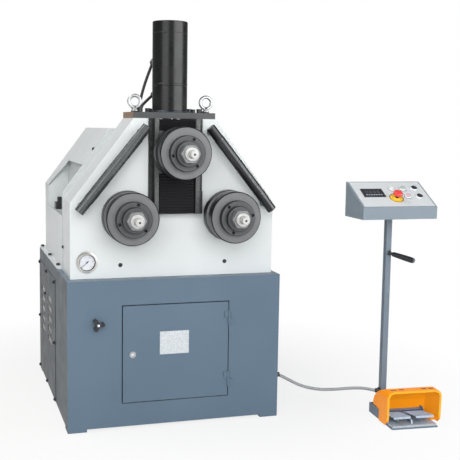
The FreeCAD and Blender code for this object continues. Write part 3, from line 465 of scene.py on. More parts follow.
def plastic(name, colour, roughness, streak=400.0, depth=0.05, specular=0.5):
    return metal(name, colour, roughness, streak, depth, 0.0, specular=specular)


black_oxide = metal("black oxide screws", (0.028, 0.030, 0.034), 0.36, metallic=0.35, wear=0.5,
                    worn=(0.16, 0.17, 0.18))


def screwed(name, axis, radius, height, points, material=black_oxide, body="frame",
            slot="steel_dark"):
    """Button-head screws of one size, as one piece."""
    carried(grown(name, screws, {"Axis": axis, "Head Radius": radius, "Head Height": height,
                                 "Material": material}, points), body, slot)


# The cover's coat is a darker copy of the cabinet's, as on the left side: painted shade.
finished("vent_cover", 0.0005, painted("vent sheet, painted shade", (0.068, 0.082, 0.096), 0.46, dust_and_top_light=0.30,
                                       specular=0.18))
cover_face, to_left = -0.4518, (-1, 0, 0)
screwed("vent_screws", to_left, 0.0085, 0.0045, [
    (cover_face, y, z) for y in (-0.110, 0.195, 0.500) for z in (0.552, 0.280, 0.022)
    if (y, z) != (0.195, 0.280)])
screwed("vent_plug", to_left, 0.0075, 0.004, [(cover_face, 0.247, 0.437)])

# The pale mat behind the slots is painted light, seen through them.
mat_at, mat_width, mat_height, ripple_depth = (-0.4480, 0.2115, 0.343), 0.46, 0.30, 0.0006
bm = bmesh.new()
bmesh.ops.create_grid(bm, x_segments=60, y_segments=44, size=0.5)
for vert in bm.verts:
    across, rise = vert.co.x, vert.co.y
    ripple = ripple_depth * math.sin(across * 61) * math.sin(rise * 47)
    vert.co = Vector(mat_at) + Vector((ripple, across * mat_width, rise * mat_height))
bmesh.ops.recalc_face_normals(bm, faces=bm.faces[:])
slot_light_mat = solid_piece("slot_light_mat", bm, painted(
    "pale mat, painted light through slots", (0.62, 0.61, 0.60), 0.95, 0.16, 0.9, 240.0, 0.0, specular=0.1))
thickness = slot_light_mat.modifiers.new("mat", "SOLIDIFY")
thickness.thickness = 0.0016
thickness.offset = 0
slot_light_mat.data.shade_smooth()
carried(baked(slot_light_mat), "frame", "paint_white")

# ---- Door ----
# A folded pan of the same sheet on two lift-off hinges, with a plated quarter-turn lock and
# a ruled data plate that is riveted to it and says nothing.
chrome = metal("chrome plate", (0.80, 0.81, 0.83), 0.18, 200.0, 0.004)
zinc = metal("zinc plate", (0.62, 0.63, 0.64), 0.36, 160.0, 0.02, unevenness=0.12)
lock_steel = metal("lock case", (0.40, 0.41, 0.42), 0.30, 160.0, 0.02, 0.75, wear=0.6,
                   worn=(0.72, 0.73, 0.74))
lock_x, lock_width = -0.186, 0.05
finished("door", 0.0014, (lock_steel, lambda low, high:
                          abs((low.x + high.x) / 2 - lock_x) < 0.004
                          and high.x - low.x < lock_width), cabinet_coat)
finished("hinge_lower_halves", 0.0006, cabinet_coat)
finished("door_lock_cam", 0.0004, chrome)


def ruled_plate():
    """Printed plate: pale ground, ruled rows and columns, and grey dashes in place of words."""
    material, shader = finish_of("ruled plate", roughness=0.35)
    tree = material.node_tree
    at = joined(tree, "ShaderNodeSeparateXYZ",
                {0: joined(tree, "ShaderNodeTexCoord").outputs["Object"]}).outputs
    dash, dash_row = 0.0022, 0.0049

    def lines(value, pitch, width):
        part = worked(tree, "FRACT", worked(tree, "DIVIDE", value, pitch))
        return worked(tree, "LESS_THAN", part, width)

    def step(value, pitch):
        return worked(tree, "FLOOR", worked(tree, "DIVIDE", value, pitch))

    grid = worked(tree, "MAXIMUM", lines(at["Z"], 0.0147, 0.05), lines(at["X"], 0.0410, 0.02))
    cell = xyz(tree, X=step(at["X"], dash), Z=step(at["Z"], dash_row))
    draw = made(tree, "ShaderNodeTexWhiteNoise", {"Vector": cell})
    dashes = worked(tree, "MULTIPLY", spread(tree, draw, 0.25, 0.95, 0.0, 1.0),
                    lines(at["Z"], dash_row, 0.5))
    ink = worked(tree, "MAXIMUM", worked(tree, "MULTIPLY", grid, 0.30),
                 worked(tree, "MULTIPLY", dashes, 0.62))
    tree.links.new(mixed(tree, ink, (0.68, 0.72, 0.75, 1), (0.17, 0.20, 0.26, 1)),
                   shader.inputs["Base Color"])
    return material


def block(name, low, high, material, edge):
    """Rounded block between two corners."""
    bm = bmesh.new()
    bmesh.ops.create_cube(bm, size=1.0)
    middle, size = (Vector(low) + Vector(high)) / 2, Vector(high) - Vector(low)
    for vert in bm.verts:
        vert.co = middle + Vector(vert.co[i] * size[i] for i in range(3))
    return rounded(solid_piece(name, bm, material), edge)


door_face, to_front = -0.522, (0, -1, 0)
carried(block("data_plate", (-0.072, door_face - 0.0010, 0.306), (0.051, door_face, 0.402),
              ruled_plate(), 0.0004), "door", "aluminium")
screwed("plate_rivets", to_front, 0.0016, 0.0004, [
    (x, door_face - 0.0009, z) for x in (-0.068, 0.047) for z in (0.310, 0.398)],
    zinc, "door", "zinc")

# ---- Valve knob ----
# Three-lobe knob of moulded black plastic on the pressure valve's spindle. A plated cap nut
# holds it there.
finished("valve_knob", 0.0026, plastic("moulded black plastic", (0.020, 0.021, 0.023), 0.34,
                                       500.0, 0.06), segments=3)
knob_cap = lathe("knob_cap_nut", [
    (0, -0.0012), (0.0062, -0.0012), (0.0062, 0.002), (0.0052, 0.0038), (0.0034, 0.0052),
    (0, 0.0058)], chrome, (-0.330, -0.554, 0.447), to_front, 32)
carried(rounded(knob_cap, 0.0003), "valve_knob", "chrome")

# ---- Conduit and glands ----
# The console's cables run in a ribbed grey plastic conduit. It hangs between two nylon
# glands, one on the cabinet's right side and one at the foot of the console.
conduit_route = [
    (0.472, -0.480, 0.169), (0.506, -0.488, 0.152), (0.550, -0.499, 0.127),
    (0.604, -0.513, 0.109), (0.662, -0.528, 0.102), (0.722, -0.543, 0.104),
    (0.780, -0.557, 0.109), (0.832, -0.571, 0.109), (0.861, -0.583, 0.105),
    (0.880, -0.597, 0.102)]


def smooth_curve(name, route, resolution):
    """The smooth curve that has the route as its control points."""
    curve = bpy.data.curves.new(name, "CURVE")
    curve.dimensions = "3D"
    curve.resolution_u = resolution
    spline = curve.splines.new("NURBS")
    spline.points.add(len(route) - 1)
    for point, at in zip(spline.points, route):
        point.co = (*at, 1)
    spline.order_u = 3
    spline.use_endpoint_u = True
    return curve


def shape_of(data):
    """The plain mesh of a curve or a text."""
    holder = piece("holder", data)
    mesh = evaluated(holder)
    bpy.data.objects.remove(holder)
    return mesh


def ribbed_tube():
    """Tube along the given line, with a rounded rib on every pitch of its length."""
    tree, given = geometry_tree("ribbed tube", {
        "Radius": 0.007, "Rib Height": 0.0006, "Rib Pitch": 0.0032})
    pitch, height = given["Rib Pitch"], given["Rib Height"]
    line = made(tree, "GeometryNodeMeshToCurve", {"Mesh": given["Geometry"]})
    even = made(tree, "GeometryNodeResampleCurve", {
        "Curve": line, "Length": worked(tree, "DIVIDE", pitch, 4.0)}, mode="LENGTH")
    along = joined(tree, "GeometryNodeSplineParameter").outputs["Length"]
    angle = worked(tree, "MULTIPLY", worked(tree, "DIVIDE", along, pitch), 2 * math.pi)
    raised = worked(tree, "MULTIPLY", worked(tree, "SINE", angle), height)
    core = worked(tree, "SUBTRACT", given["Radius"], height)
    radius = worked(tree, "ADD", core, raised)
    sized = made(tree, "GeometryNodeSetCurveRadius", {"Curve": even, "Radius": radius})
    ring = made(tree, "GeometryNodeCurvePrimitiveCircle", {"Resolution": 20, "Radius": 1.0})
    skin = joined(tree, "GeometryNodeCurveToMesh", {
        "Curve": sized, "Profile Curve": ring, "Fill Caps": True})
    if "Scale" in skin.inputs:
        tree.links.new(radius, skin.inputs["Scale"])
    smooth = made(tree, "GeometryNodeSetShadeSmooth", {"Geometry": skin.outputs[0]})
    return end_tree(tree, smooth, given)


grey_pvc = painted("grey conduit plastic", (0.30, 0.32, 0.34), 0.45, 0.05, 0.05, dust_and_top_light=0.4)
gland_black = plastic("black nylon", (0.022, 0.023, 0.025), 0.42)
conduit_line = [vert.co.copy() for vert in
                shape_of(smooth_curve("route", conduit_route, 24)).vertices]
conduit = grown("console_conduit", ribbed_tube(), {
    "Radius": 0.007, "Rib Height": 0.0005, "Rib Pitch": 0.0034, "Material": grey_pvc},
    conduit_line, [(i, i + 1) for i in range(len(conduit_line) - 1)])
carried(conduit, "frame", "plastic_grey", "conduit")
finished("cable_glands", 0.0007, gland_black)

# ---- Head ----
# The head is welded from thick plate with sloped shoulders and painted off-white. Its foot
# flange and the rear covers have the same paint; cap screws and plugs are black.
head_coat = painted("off-white machine enamel", (0.730, 0.768, 0.780), 0.33, 0.025, 0.10, 420.0,
                    0.10)
end_shade_coat = painted("cover ends, painted shade", (0.520, 0.548, 0.558), 0.40, 0.03, 0.12,
                    420.0, 0.10, specular=0.3)
finished("head_front_plate", 0.0018, head_coat)
finished("head_frame", 0.0018, head_coat)
# The covers' front end faces get a darker copy of the enamel: painted shade.
cover_end = -0.245
for node in ("side_cover_left", "rear_covers"):
    repainted(finished(node, 0.0009, head_coat), end_shade_coat,
              lambda face: face.normal.y < -0.9 and abs(face.center.y - cover_end) < 0.006)
finished("inner_frame", 0.0009, head_coat)
finished("head_bolts", 0.0008, black_oxide)
for side, x, z in (("left", -0.226, 0.675), ("right", 0.219, 0.677)):
    plug = lathe("face_plug_" + side, [
        (0, -0.001), (0.0088, -0.001), (0.0088, 0.0008), (0.0080, 0.0018), (0.0060, 0.0022),
        (0, 0.0022)], black_oxide, (x, -0.465, z), to_front, 40)
    carried(rounded(plug), "frame", "steel_dark")
shoulder_rise, shoulder_run = 1.226 - 0.955, 0.432 - 0.233
slope_out = tuple(Vector((-shoulder_rise, 0, shoulder_run)).normalized())
screwed("side_screw", to_left, 0.0075, 0.004, [(-0.4298, -0.257, 0.727)])
screwed("slope_screw", slope_out, 0.0075, 0.004, [(-0.2965, -0.228, 1.1395)])

# ---- Slide and its ways ----
# Dark steel ways and keeper strips guide a cast slide; two pleated rubber bellows keep the
# chips off it. The right keeper carries a travel switch.
way_steel = metal("oiled dark steel", (0.066, 0.070, 0.069), 0.36, 90.0, 0.05, 0.45, 0.5,
                  (0.24, 0.25, 0.25))
way_shade_and_black = metal("way flanks painted shade, keepers black", (0.016, 0.017, 0.018), 0.34, 90.0, 0.05, 0.3, 0.5,
                  (0.13, 0.14, 0.14), specular=0.35)
# The ways' side faces get a darker copy of the steel as painted shade; the keeper strips are
# black all over.
keeper_start = 0.0952
repainted(finished("slide_ways", 0.0012, way_steel), way_shade_and_black,
          lambda face: face.normal.y > -0.7 or abs(face.center.x) > keeper_start)
finished("slide_block", 0.0016, way_steel)
finished("piston_rod", 0.0008, chrome)
finished("position_switches", 0.0012, plastic("switch housing plastic", (0.026, 0.028, 0.033),
                                              0.40, 420.0, 0.08))


def pleat_tree():
    """Pleated wall from a zigzag line with rounded folds, swept across its width."""
    tree, given = geometry_tree("pleated wall", {
        "Low": 0.884, "High": 1.05, "Pleats": 14, "Front": -0.504, "Depth": 0.007,
        "Width": 0.148})
    count = worked(tree, "MULTIPLY", given["Pleats"], 2.0)
    line = made(tree, "GeometryNodeMeshLine", {"Count": worked(tree, "ADD", count, 1.0)})
    index = made(tree, "GeometryNodeInputIndex")
    rise = made(tree, "ShaderNodeMapRange", {
        "Value": worked(tree, "DIVIDE", index, count), "To Min": given["Low"],
        "To Max": given["High"]})
    inner = worked(tree, "SUBTRACT", 1.0, worked(tree, "MODULO", index, 2.0))
    face = worked(tree, "ADD", given["Front"], worked(tree, "MULTIPLY", inner, given["Depth"]))
    zigzag = made(tree, "GeometryNodeSetPosition",
                  {"Geometry": line, "Position": xyz(tree, Y=face, Z=rise)})
    curve = made(tree, "GeometryNodeMeshToCurve", {"Mesh": zigzag})
    folds = made(tree, "GeometryNodeFilletCurve",
                 {"Curve": curve, "Radius": 0.0011, "Limit Radius": True})
    half = worked(tree, "MULTIPLY", given["Width"], 0.5)
    across = made(tree, "GeometryNodeCurvePrimitiveLine", {
        "Start": xyz(tree, X=worked(tree, "MULTIPLY", half, -1.0)), "End": xyz(tree, X=half)})
    wall = made(tree, "GeometryNodeCurveToMesh", {"Curve": folds, "Profile Curve": across})
    return end_tree(tree, wall, given)


bellows_rubber = plastic("bellows rubber", (0.010, 0.0095, 0.0115), 0.42, 260.0, specular=0.14)
pleated, bellows_back = pleat_tree(), -0.4845
for name, low, high, pleats, ends in (
        ("lower_bellows", 0.8845, 1.0495, 14, ("frame", "ram")),
        ("upper_bellows", 1.2225, 1.2695, 5, ("ram", "frame"))):
    wall = grown(name + "_pleats", pleated, {
        "Low": low, "High": high, "Pleats": pleats, "Front": -0.5038, "Depth": 0.0068,
        "Width": 0.1475, "Material": bellows_rubber})
    bm = bmesh.new()
    bm.from_mesh(wall.data)
    bmesh.ops.remove_doubles(bm, verts=bm.verts[:], dist=1e-5)
    front_edges = [edge for edge in bm.edges if edge.is_boundary]
    for vert in bmesh.ops.extrude_edge_only(bm, edges=front_edges)["geom"]:
        if isinstance(vert, bmesh.types.BMVert):
            vert.co.y = bellows_back
    bmesh.ops.holes_fill(bm, edges=[edge for edge in bm.edges if edge.is_boundary])
    bmesh.ops.recalc_face_normals(bm, faces=bm.faces[:])
    bm.to_mesh(wall.data)
    bm.free()
    wall.data.shade_smooth()
    wall.data.set_sharp_from_angle(angle=math.radians(50))
    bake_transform(wall)
    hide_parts(name)

# ---- Top plate, bolts and lifting eyes ----
# The cylinder's plate is cut from thick bar: black paint, with its left end face painted brown.
# Two forged eyes, zinc plated, stand on it.
plate_black = painted("black satin enamel", (0.048, 0.053, 0.056), 0.34, 0.10, 0.16, 300.0)
left_end_paint = painted("brown primer", (0.320, 0.208, 0.145), 0.62, 0.16, 0.25, dust_and_top_light=0.0)
plate_end = -0.171
repainted(finished("top_plate", 0.0012, plate_black), left_end_paint,
          lambda face: face.normal.x < -0.9 and face.center.x < plate_end)
finished("lifting_eyes", 0.0, zinc)

# ---- Cylinder and hoses ----
# Long-stroke hydraulic cylinder in black gloss, with a welded cap, two faint turned seams and
# a bleed plug. Two rubber hoses leave fittings at its back and go through the plate.
gloss_black = painted("black gloss enamel", (0.0060, 0.0062, 0.0066), 0.27, 0.12, 0.03, 160.0,
                      0.15, specular=0.45)
finished("hydraulic_cylinder", 0.0010, gloss_black)
finished("hydraulic_fittings", 0.0007, metal(
    "dark plated fitting", (0.080, 0.084, 0.090), 0.34, 160.0, 0.02, 0.6, 0.3,
    (0.30, 0.31, 0.32)))
cylinder_y, cylinder_r = -0.365, 0.073


def round_cylinder(name, profile, material, height):
    """Ring round the cylinder, at this height."""
    ring = lathe(name, profile, material, (0, cylinder_y, height), steps=128)
    ring.data.shade_smooth()
    carried(ring, "frame", "paint_black")


for name, height, proud, depth in (("seam_cap", 1.6215, 0.0005, 0.0016),
                                   ("seam_lower", 1.4110, 0.0003, 0.0050)):
    inside, bulge = cylinder_r - 0.0006, cylinder_r + proud * 0.6
    round_cylinder(name, [
        (inside, -depth), (bulge, -depth), (cylinder_r + proud, -depth * 0.5),
        (cylinder_r + proud, depth * 0.5), (bulge, depth), (inside, depth)], gloss_black, height)
round_cylinder("cylinder_seal_ring", [
    (0.0725, 0.0), (0.0768, 0.0), (0.0768, 0.0022), (0.0755, 0.0042), (0.0725, 0.0052)],
    metal("blued seal ring", (0.055, 0.075, 0.120), 0.18, metallic=0.5), 1.2974)
plug_x = -0.037
plug_y = cylinder_y - math.sqrt(cylinder_r ** 2 - plug_x ** 2)
screwed("bleed_plug", (plug_x / cylinder_r, (plug_y - cylinder_y) / cylinder_r, 0), 0.0042,
        0.0008, [(plug_x, plug_y, 1.618)])
hose_rubber = plastic("hose rubber", (0.024, 0.024, 0.026), 0.48, 700.0, 0.22)
for name, length, route in (
        ("upper_hose", 0.19, [
            (-0.057, -0.291, 1.506), (-0.067, -0.290, 1.478), (-0.080, -0.289, 1.444),
            (-0.092, -0.289, 1.408), (-0.102, -0.287, 1.372), (-0.107, -0.286, 1.346),
            (-0.109, -0.285, 1.324)]),
        ("lower_hose", 0.075, [
            (-0.054, -0.295, 1.372), (-0.068, -0.301, 1.361), (-0.083, -0.307, 1.348),
            (-0.097, -0.312, 1.335), (-0.108, -0.316, 1.324)])):
    curve = smooth_curve(name, route, 16)
    curve.bevel_depth, curve.bevel_resolution, curve.use_fill_caps = 0.006, 8, True
    curve.materials.append(hose_rubber)
    hose = carried(piece(name, curve), "frame", "rubber", "cylinder_hoses")

# ---- Guide bars ----
# Two round bars on short posts, blackened, with turned-down ends. The left one is painted
# lighter, as painted light.
blackened = metal("blackened bar", (0.022, 0.024, 0.027), 0.24, 120.0, 0.02, 0.45, 0.4,
                  (0.20, 0.21, 0.22))
# The left bar gets a lighter copy of the black: painted light.
painted_light_bar = metal("blackened bar, rubbed", (0.118, 0.126, 0.131), 0.26, 120.0, 0.02, 0.65, 0.1,
               (0.24, 0.25, 0.26))
finished("guide_bars", 0.0007, (painted_light_bar, lambda low, high: high.x < 0), blackened)

# ---- Pressure gauge ----
# Panel gauge with a wide plated flange held by three screws, a white dial with a ring of
# ticks and plain numbers, a thin needle, and a glass front.
gauge_x, gauge_z, gauge_face = -0.363, 0.690, -0.465
dial_top = gauge_face - 0.0046
finished("gauge_case", 0.0007, metal("gauge flange", (0.66, 0.65, 0.62), 0.30, 300.0, 0.01))
dial_white = painted("dial white", (0.72, 0.75, 0.80), 0.5, 0.0, 0.0, dust_and_top_light=0.0)
dial_ink = painted("dial ink", (0.03, 0.03, 0.035), 0.6, 0.0, 0.0, dust_and_top_light=0.0)
pane, pane_shader = finish_of("gauge glass", roughness=0.03)
pane_shader.inputs["Transmission Weight"].default_value = 1.0
pane_shader.inputs["IOR"].default_value = 1.15


def on_gauge(name, profile, material, y):
    return lathe(name, profile, material, (gauge_x, y, gauge_z), to_front, 64)


carried(on_gauge("gauge_dial", [(0, 0), (0.0333, 0), (0.0333, 0.0006), (0, 0.0006)], dial_white,
                 gauge_face - 0.0040), "frame", "plastic_white")
# A black ring round the dial's edge: painted shade inside the bezel.
carried(rounded(on_gauge("dial_shade_ring", [
    (0.0314, 0), (0.0334, 0), (0.0334, 0.0078), (0.0322, 0.0078), (0.0314, 0.0012),
    (0.0314, 0)], dial_ink, dial_top)), "frame", "plastic_black")


def tick_ring():
    """Bars set round a dial, evenly from one end of its sweep to the other."""
    tree, given = geometry_tree("dial ticks", {
        "Count": 26, "Sweep": 4.712, "Radius": 0.028, "Length": 0.003, "Width": 0.0004})
    line = made(tree, "GeometryNodeMeshLine", {"Count": given["Count"]})
    last = worked(tree, "SUBTRACT", given["Count"], 1.0)
    part = worked(tree, "DIVIDE", made(tree, "GeometryNodeInputIndex"), last)
    angle = worked(tree, "ADD", worked(tree, "MULTIPLY", part, given["Sweep"]),
                   worked(tree, "MULTIPLY", given["Sweep"], -0.5))
    across, rise = (worked(tree, "MULTIPLY", worked(tree, way, angle), given["Radius"])
                    for way in ("SINE", "COSINE"))
    placed = made(tree, "GeometryNodeSetPosition",
                  {"Geometry": line, "Position": xyz(tree, X=across, Z=rise)})
    bar = made(tree, "GeometryNodeMeshCube", {
        "Size": xyz(tree, X=given["Width"], Y=0.0002, Z=given["Length"])})
    return placed_on(tree, placed, bar, given, Rotation=xyz(tree, Y=angle))


ticks = tick_ring()
for name, count, radius, length, width in (("dial_fine_ticks", 51, 0.0290, 0.0018, 0.0003),
                                           ("dial_main_ticks", 11, 0.0280, 0.0038, 0.0006)):
    marks = grown(name, ticks, {"Count": count, "Radius": radius, "Length": length,
                                "Width": width, "Material": dial_ink})
    marks.data.transform(Matrix.Translation((gauge_x, dial_top, gauge_z)))
    carried(marks, "frame", "steel_dark")
first_number, number_step, number_ring = -135, 54, 0.0215
for step in range(6):
    label = bpy.data.curves.new("number", "FONT")
    label.body = str(step * 5)
    label.size, label.extrude = 0.0062, 0.0001
    label.align_x = label.align_y = "CENTER"
    shape = shape_of(label)
    angle = math.radians(first_number + number_step * step)
    shape.transform(Matrix.Translation((gauge_x + number_ring * math.sin(angle), dial_top,
                                        gauge_z + number_ring * math.cos(angle)))
                    @ Matrix.Rotation(math.pi / 2, 4, "X"))
    shape.materials.clear()
    shape.materials.append(dial_ink)
    carried(piece("dial_number_%d" % step, shape), "frame", "steel_dark")
finished("gauge_needle", 0.0002, dial_ink)
carried(rounded(on_gauge("gauge_glass", [(0, 0), (0.0334, 0), (0.0334, 0.0016), (0, 0.0016)],
                         pane, gauge_face - 0.0125), 0.0003), "frame", "plastic_white")
screw_ring = 0.0410
screwed("gauge_screws", to_front, 0.0022, 0.0010, [
    (gauge_x + screw_ring * math.sin(math.radians(a)), gauge_face - 0.0029,
     gauge_z + screw_ring * math.cos(math.radians(a))) for a in (0, 120, 240)], zinc, slot="zinc")


# ---- Rolls and shafts ----
# Each roll set is three blackened rings, a flanged hub with three screws, and a hex nut on a
# turned shaft with a bright nose. The lower sets' middle ring is ground steel, painted lighter as
# a painted reflection; on the top set it is dark as painted shade, like the rear ring. The side
# faces of rings and hub are painted near-black as shade.
def turned_group():
    """Turning marks round an axis along Y, through Centre."""
    tree, given, place = shader_group("turning marks", {
        "Centre": (0.0, 0.0, 0.0), "Pitch": 1400.0, "Depth": 0.15, "Roughness": 0.3,
        "Colour": mid_grey})
    off = made(tree, "ShaderNodeVectorMath", {0: place, 1: given["Centre"]}, operation="SUBTRACT")
    flat = made(tree, "ShaderNodeVectorMath", {0: off, 1: (1, 0, 1)}, operation="MULTIPLY")
    radius = joined(tree, "ShaderNodeVectorMath", {0: flat}, operation="LENGTH").outputs["Value"]
    spot = xyz(tree, X=radius, Y=joined(tree, "ShaderNodeSeparateXYZ", {0: place}).outputs["Y"])
    cut = noise(tree, spot, given["Pitch"], 3.0)
    blend = worked(tree, "ADD", noise(tree, spot, 130.0, 2.0), noise(tree, place, 30.0, 5.0))
    drift = spread(tree, blend, 0.7, 1.3, -0.05, 0.06)
    joined(tree, "NodeGroupOutput", {
        "Colour": shaded(tree, blend, 0.7, 1.3, 0.90, 1.10, given["Colour"]),
        "Roughness": worked(tree, "ADD", given["Roughness"], drift),
        "Normal": relief(tree, cut, given["Depth"], 0.0005)})
    return tree


turned_marks = turned_group()
roll_face, ring_width, hub_face, nut_front = -0.646, 0.040, -0.6602, -0.720
tip_r, tip_root, tip_end, hole_r, screw_ring = 0.0162, -0.7385, -0.770, 0.0038, 0.0605
for side, x, z, first_hole in (("left", -0.210, 0.880, 76), ("right", 0.210, 0.880, 11),
                               ("top", 0.0, 1.136, 68)):
    def lathed(name, colour, roughness, metallic, depth, specular=0.5):
        return layered(name + " " + side, turned_marks, {
            "Centre": (x, 0, z), "Pitch": 1400.0, "Depth": depth, "Roughness": roughness,
            "Colour": (*colour, 1)}, metallic, specular)

    dark = lathed("blackened ring", (0.150, 0.154, 0.158), 0.42, 0.20, 0.06)
    # A darker copy of the ring for the rear: painted shade.
    rear_shade = lathed("rear ring, painted shade", (0.045, 0.048, 0.050), 0.40, 0.20, 0.06)
    # The lower sets' middle ring is lighter, partly ground steel and partly painted reflection;
    # the top set's takes the dark rear tone, as painted shade.
    bright = rear_shade if side == "top" else lathed(
        "ground ring, painted reflection", (0.30, 0.31, 0.32), 0.25, 0.5, 0.15)
    nose = lathed("bright nose", (0.55, 0.55, 0.54), 0.34, 0.30, 0.06)
    hub_dark = lathed("hub", (0.074, 0.077, 0.082), 0.38, 0.25, 0.06)
    nut_steel = lathed("hex nut", (0.240, 0.250, 0.255), 0.28, 0.30, 0.03)
    near_black_shade = lathed("black flank", (0.010, 0.011, 0.012), 0.30, 0.0, 0.02, 0.22)
    rolls = finished(
        "rolls_" + side, 0.0009,
        (bright, lambda low, high:
         abs(low.y - roll_face - ring_width) < 0.002 and high.y - low.y < 0.0415),
        (nut_steel, lambda low, high: low.y < nut_front + 0.002),
        (hub_dark, lambda low, high: low.y < roll_face - 0.01),
        (rear_shade, lambda low, high: low.y > roll_face + 1.5 * ring_width), dark)
    # Side faces of rings and hub get a near-black copy: painted shade. The rear ring's front
    # faces take the middle ring's tone.
    rolls.data.materials.append(near_black_shade)
    for face in rolls.data.polygons:
        if abs(face.normal.y) < 0.85 and face.material_index > 1:
            face.material_index = 5
        elif face.material_index == 3:
            face.material_index = 0
    shaft = finished("shaft_" + side, 0.0008, nose)

    def in_shadow(face):
        """The centre hole's wall, and the back of the groove behind the tip."""
        corners = [shaft.data.vertices[i].co for i in face.vertices]
        reach = max(math.hypot(corner.x - x, corner.z - z) for corner in corners)
        return reach < hole_r or reach < tip_r and min(c.y for c in corners) > tip_root

    # The centre hole's wall and the groove behind the tip get the same painted shade.
    repainted(shaft, near_black_shade, in_shadow)
    body = body_names["rolls_" + side]
    # A black disc on the nose's tip: painted shade in the centre hole.
    hole_shade_disc = lathe("hole_shade_disc_" + side, [
        (0, -0.0010), (0.0046, -0.0010), (0.0046, 0.0001), (0.0042, 0.0003), (0, 0.0003)],
        black_oxide, (x, tip_end, z), to_front, 32)
    carried(rounded(hole_shade_disc), body, "steel_dark")
    hole_angles = [math.radians(first_hole + 120 * i) for i in range(3)]
    screwed("hub_screws_" + side, to_front, 0.0052, 0.003, [
        (x + screw_ring * math.cos(a), hub_face, z + screw_ring * math.sin(a))
        for a in hole_angles], body=body)
finished("shaft_bearings", 0.0012, metal("bearing flange", (0.050, 0.052, 0.056), 0.32,
                                         metallic=0.4, wear=0.4, worn=(0.2, 0.2, 0.2)))

# ---- Drive and power pack ----
# Inside the covers: two roll gears and their pinion in cut steel, grey geared motors, the oil
# tank with its motor, and the plate with the switchgear.
gear_steel = metal("cut gear steel", (0.40, 0.40, 0.41), 0.32, 200.0, 0.1)
motor_grey = painted("motor enamel", (0.17, 0.18, 0.19), 0.45, 0.08, 0.3, dust_and_top_light=0.5)
device_grey = painted("device plastic", (0.45, 0.46, 0.47), 0.5, 0.03, 0.05, dust_and_top_light=0.2)
for node in ("gear_left", "gear_right", "drive_pinion"):
    finished(node, 0.0, gear_steel)
for node in ("drive_motor", "top_motor", "power_pack"):
    finished(node, 0.0016, motor_grey)
finished("electrical_plate", 0.0016, device_grey)

# ---- Console ----
# Desk-shaped sheet box on a square post. The light panel carries a display, three lit
# buttons, an emergency stop on a yellow disc, and two selectors.
console_coat = painted("console powder coat", (0.230, 0.280, 0.326), 0.40, dust_and_top_light=0.20,
                       specular=0.25)
post_coat = painted("post powder coat", (0.165, 0.208, 0.258), 0.36, dust_and_top_light=0.2)
tray_coat = painted("tray powder coat", (0.120, 0.172, 0.240), 0.40, dust_and_top_light=0.1)
panel_coat = painted("panel light grey", (0.650, 0.682, 0.706), 0.34, 0.02, 0.04, dust_and_top_light=0.05)
finished("console_box", 0.0022, console_coat, segments=3)
tray_top = 0.046
repainted(finished("console_stand", 0.0012,
                   (gland_black, lambda low, high: high.z - low.z < 0.12 and low.z > 0.5),
                   post_coat), tray_coat,
          lambda face: face.center.z < tray_top and abs(face.normal.z) < 0.5)
panel_rise, panel_depth = 0.095, 0.167
panel_frame = Matrix.Translation((0.727, -0.735, 0.922)) @ Matrix.Rotation(
    math.atan2(panel_rise, panel_depth), 4, "X")


def on_panel(obj, body, slot, *nodes):
    """Place a piece made flat (X along the panel, Y up it, Z out) on the console's face."""
    obj.data.transform(panel_frame)
    return carried(obj, body, slot, *nodes)


def wide(low, high):
    return high.x - low.x


panel_black = plastic("panel black plastic", (0.018, 0.019, 0.022), 0.35)
stop_yellow = painted("yellow disc", (0.90, 0.62, 0.05), 0.4, 0.03, 0.02, dust_and_top_light=0.0)
ring_metal = metal("satin ring", (0.84, 0.86, 0.88), 0.34, 300.0, 0.006, 0.12)
stop_x, stop_up = 0.178, 0.064
stop_at = panel_frame @ Vector((stop_x, stop_up, 0.0))
finished("console_panel", 0.0005,
         (panel_coat, lambda low, high: wide(low, high) > 0.2),
         (panel_black, lambda low, high: 0.09 < wide(low, high) < 0.2),
         (stop_yellow, lambda low, high: 0.05 < wide(low, high) < 0.09 or
          ((low + high) / 2 - stop_at).length < 0.03 and wide(low, high) > 0.031), ring_metal)
on_panel(block("display_screen", (0.0415, 0.0800, 0.0038), (0.1265, 0.1240, 0.0044),
               plastic("display glass", (0.030, 0.034, 0.045), 0.12, 50.0, 0.0), 0.0002),
         "frame", "plastic_black")


def key_row():
    """Row of keys, each a step from the one before."""
    tree, given = geometry_tree("key row", {
        "Count": 6, "Start": (0.0, 0.0, 0.0), "Step": (0.01, 0.0, 0.0),
        "Key Size": (0.006, 0.004, 0.001)})
    line = made(tree, "GeometryNodeMeshLine", {
        "Count": given["Count"], "Start Location": given["Start"], "Offset": given["Step"]})
    key = made(tree, "GeometryNodeMeshCube", {
        "Size": given["Key Size"], "Vertices X": 3, "Vertices Y": 3, "Vertices Z": 2})
    return placed_on(tree, line, key, given)


keys = key_row()
key_lilac = painted("display keys", (0.36, 0.36, 0.42), 0.45, 0.03, 0.02, dust_and_top_light=0.0)
for name, count, start, step, size, material, slot in (
        ("display_keys", 7, (0.0505, 0.0870, 0.0046), 0.0112, (0.0078, 0.0062, 0.0012),
         key_lilac, "plastic_grey"),
        ("display_digits", 4, (0.0578, 0.1075, 0.0045), 0.0175, (0.0120, 0.0170, 0.0004),
         plastic("unlit digits", (0.055, 0.060, 0.070), 0.3, 60.0), "plastic_black")):
    on_panel(grown(name, keys, {"Count": count, "Start": start, "Step": (step, 0, 0),
                                "Key Size": size, "Material": material}), "frame", slot)

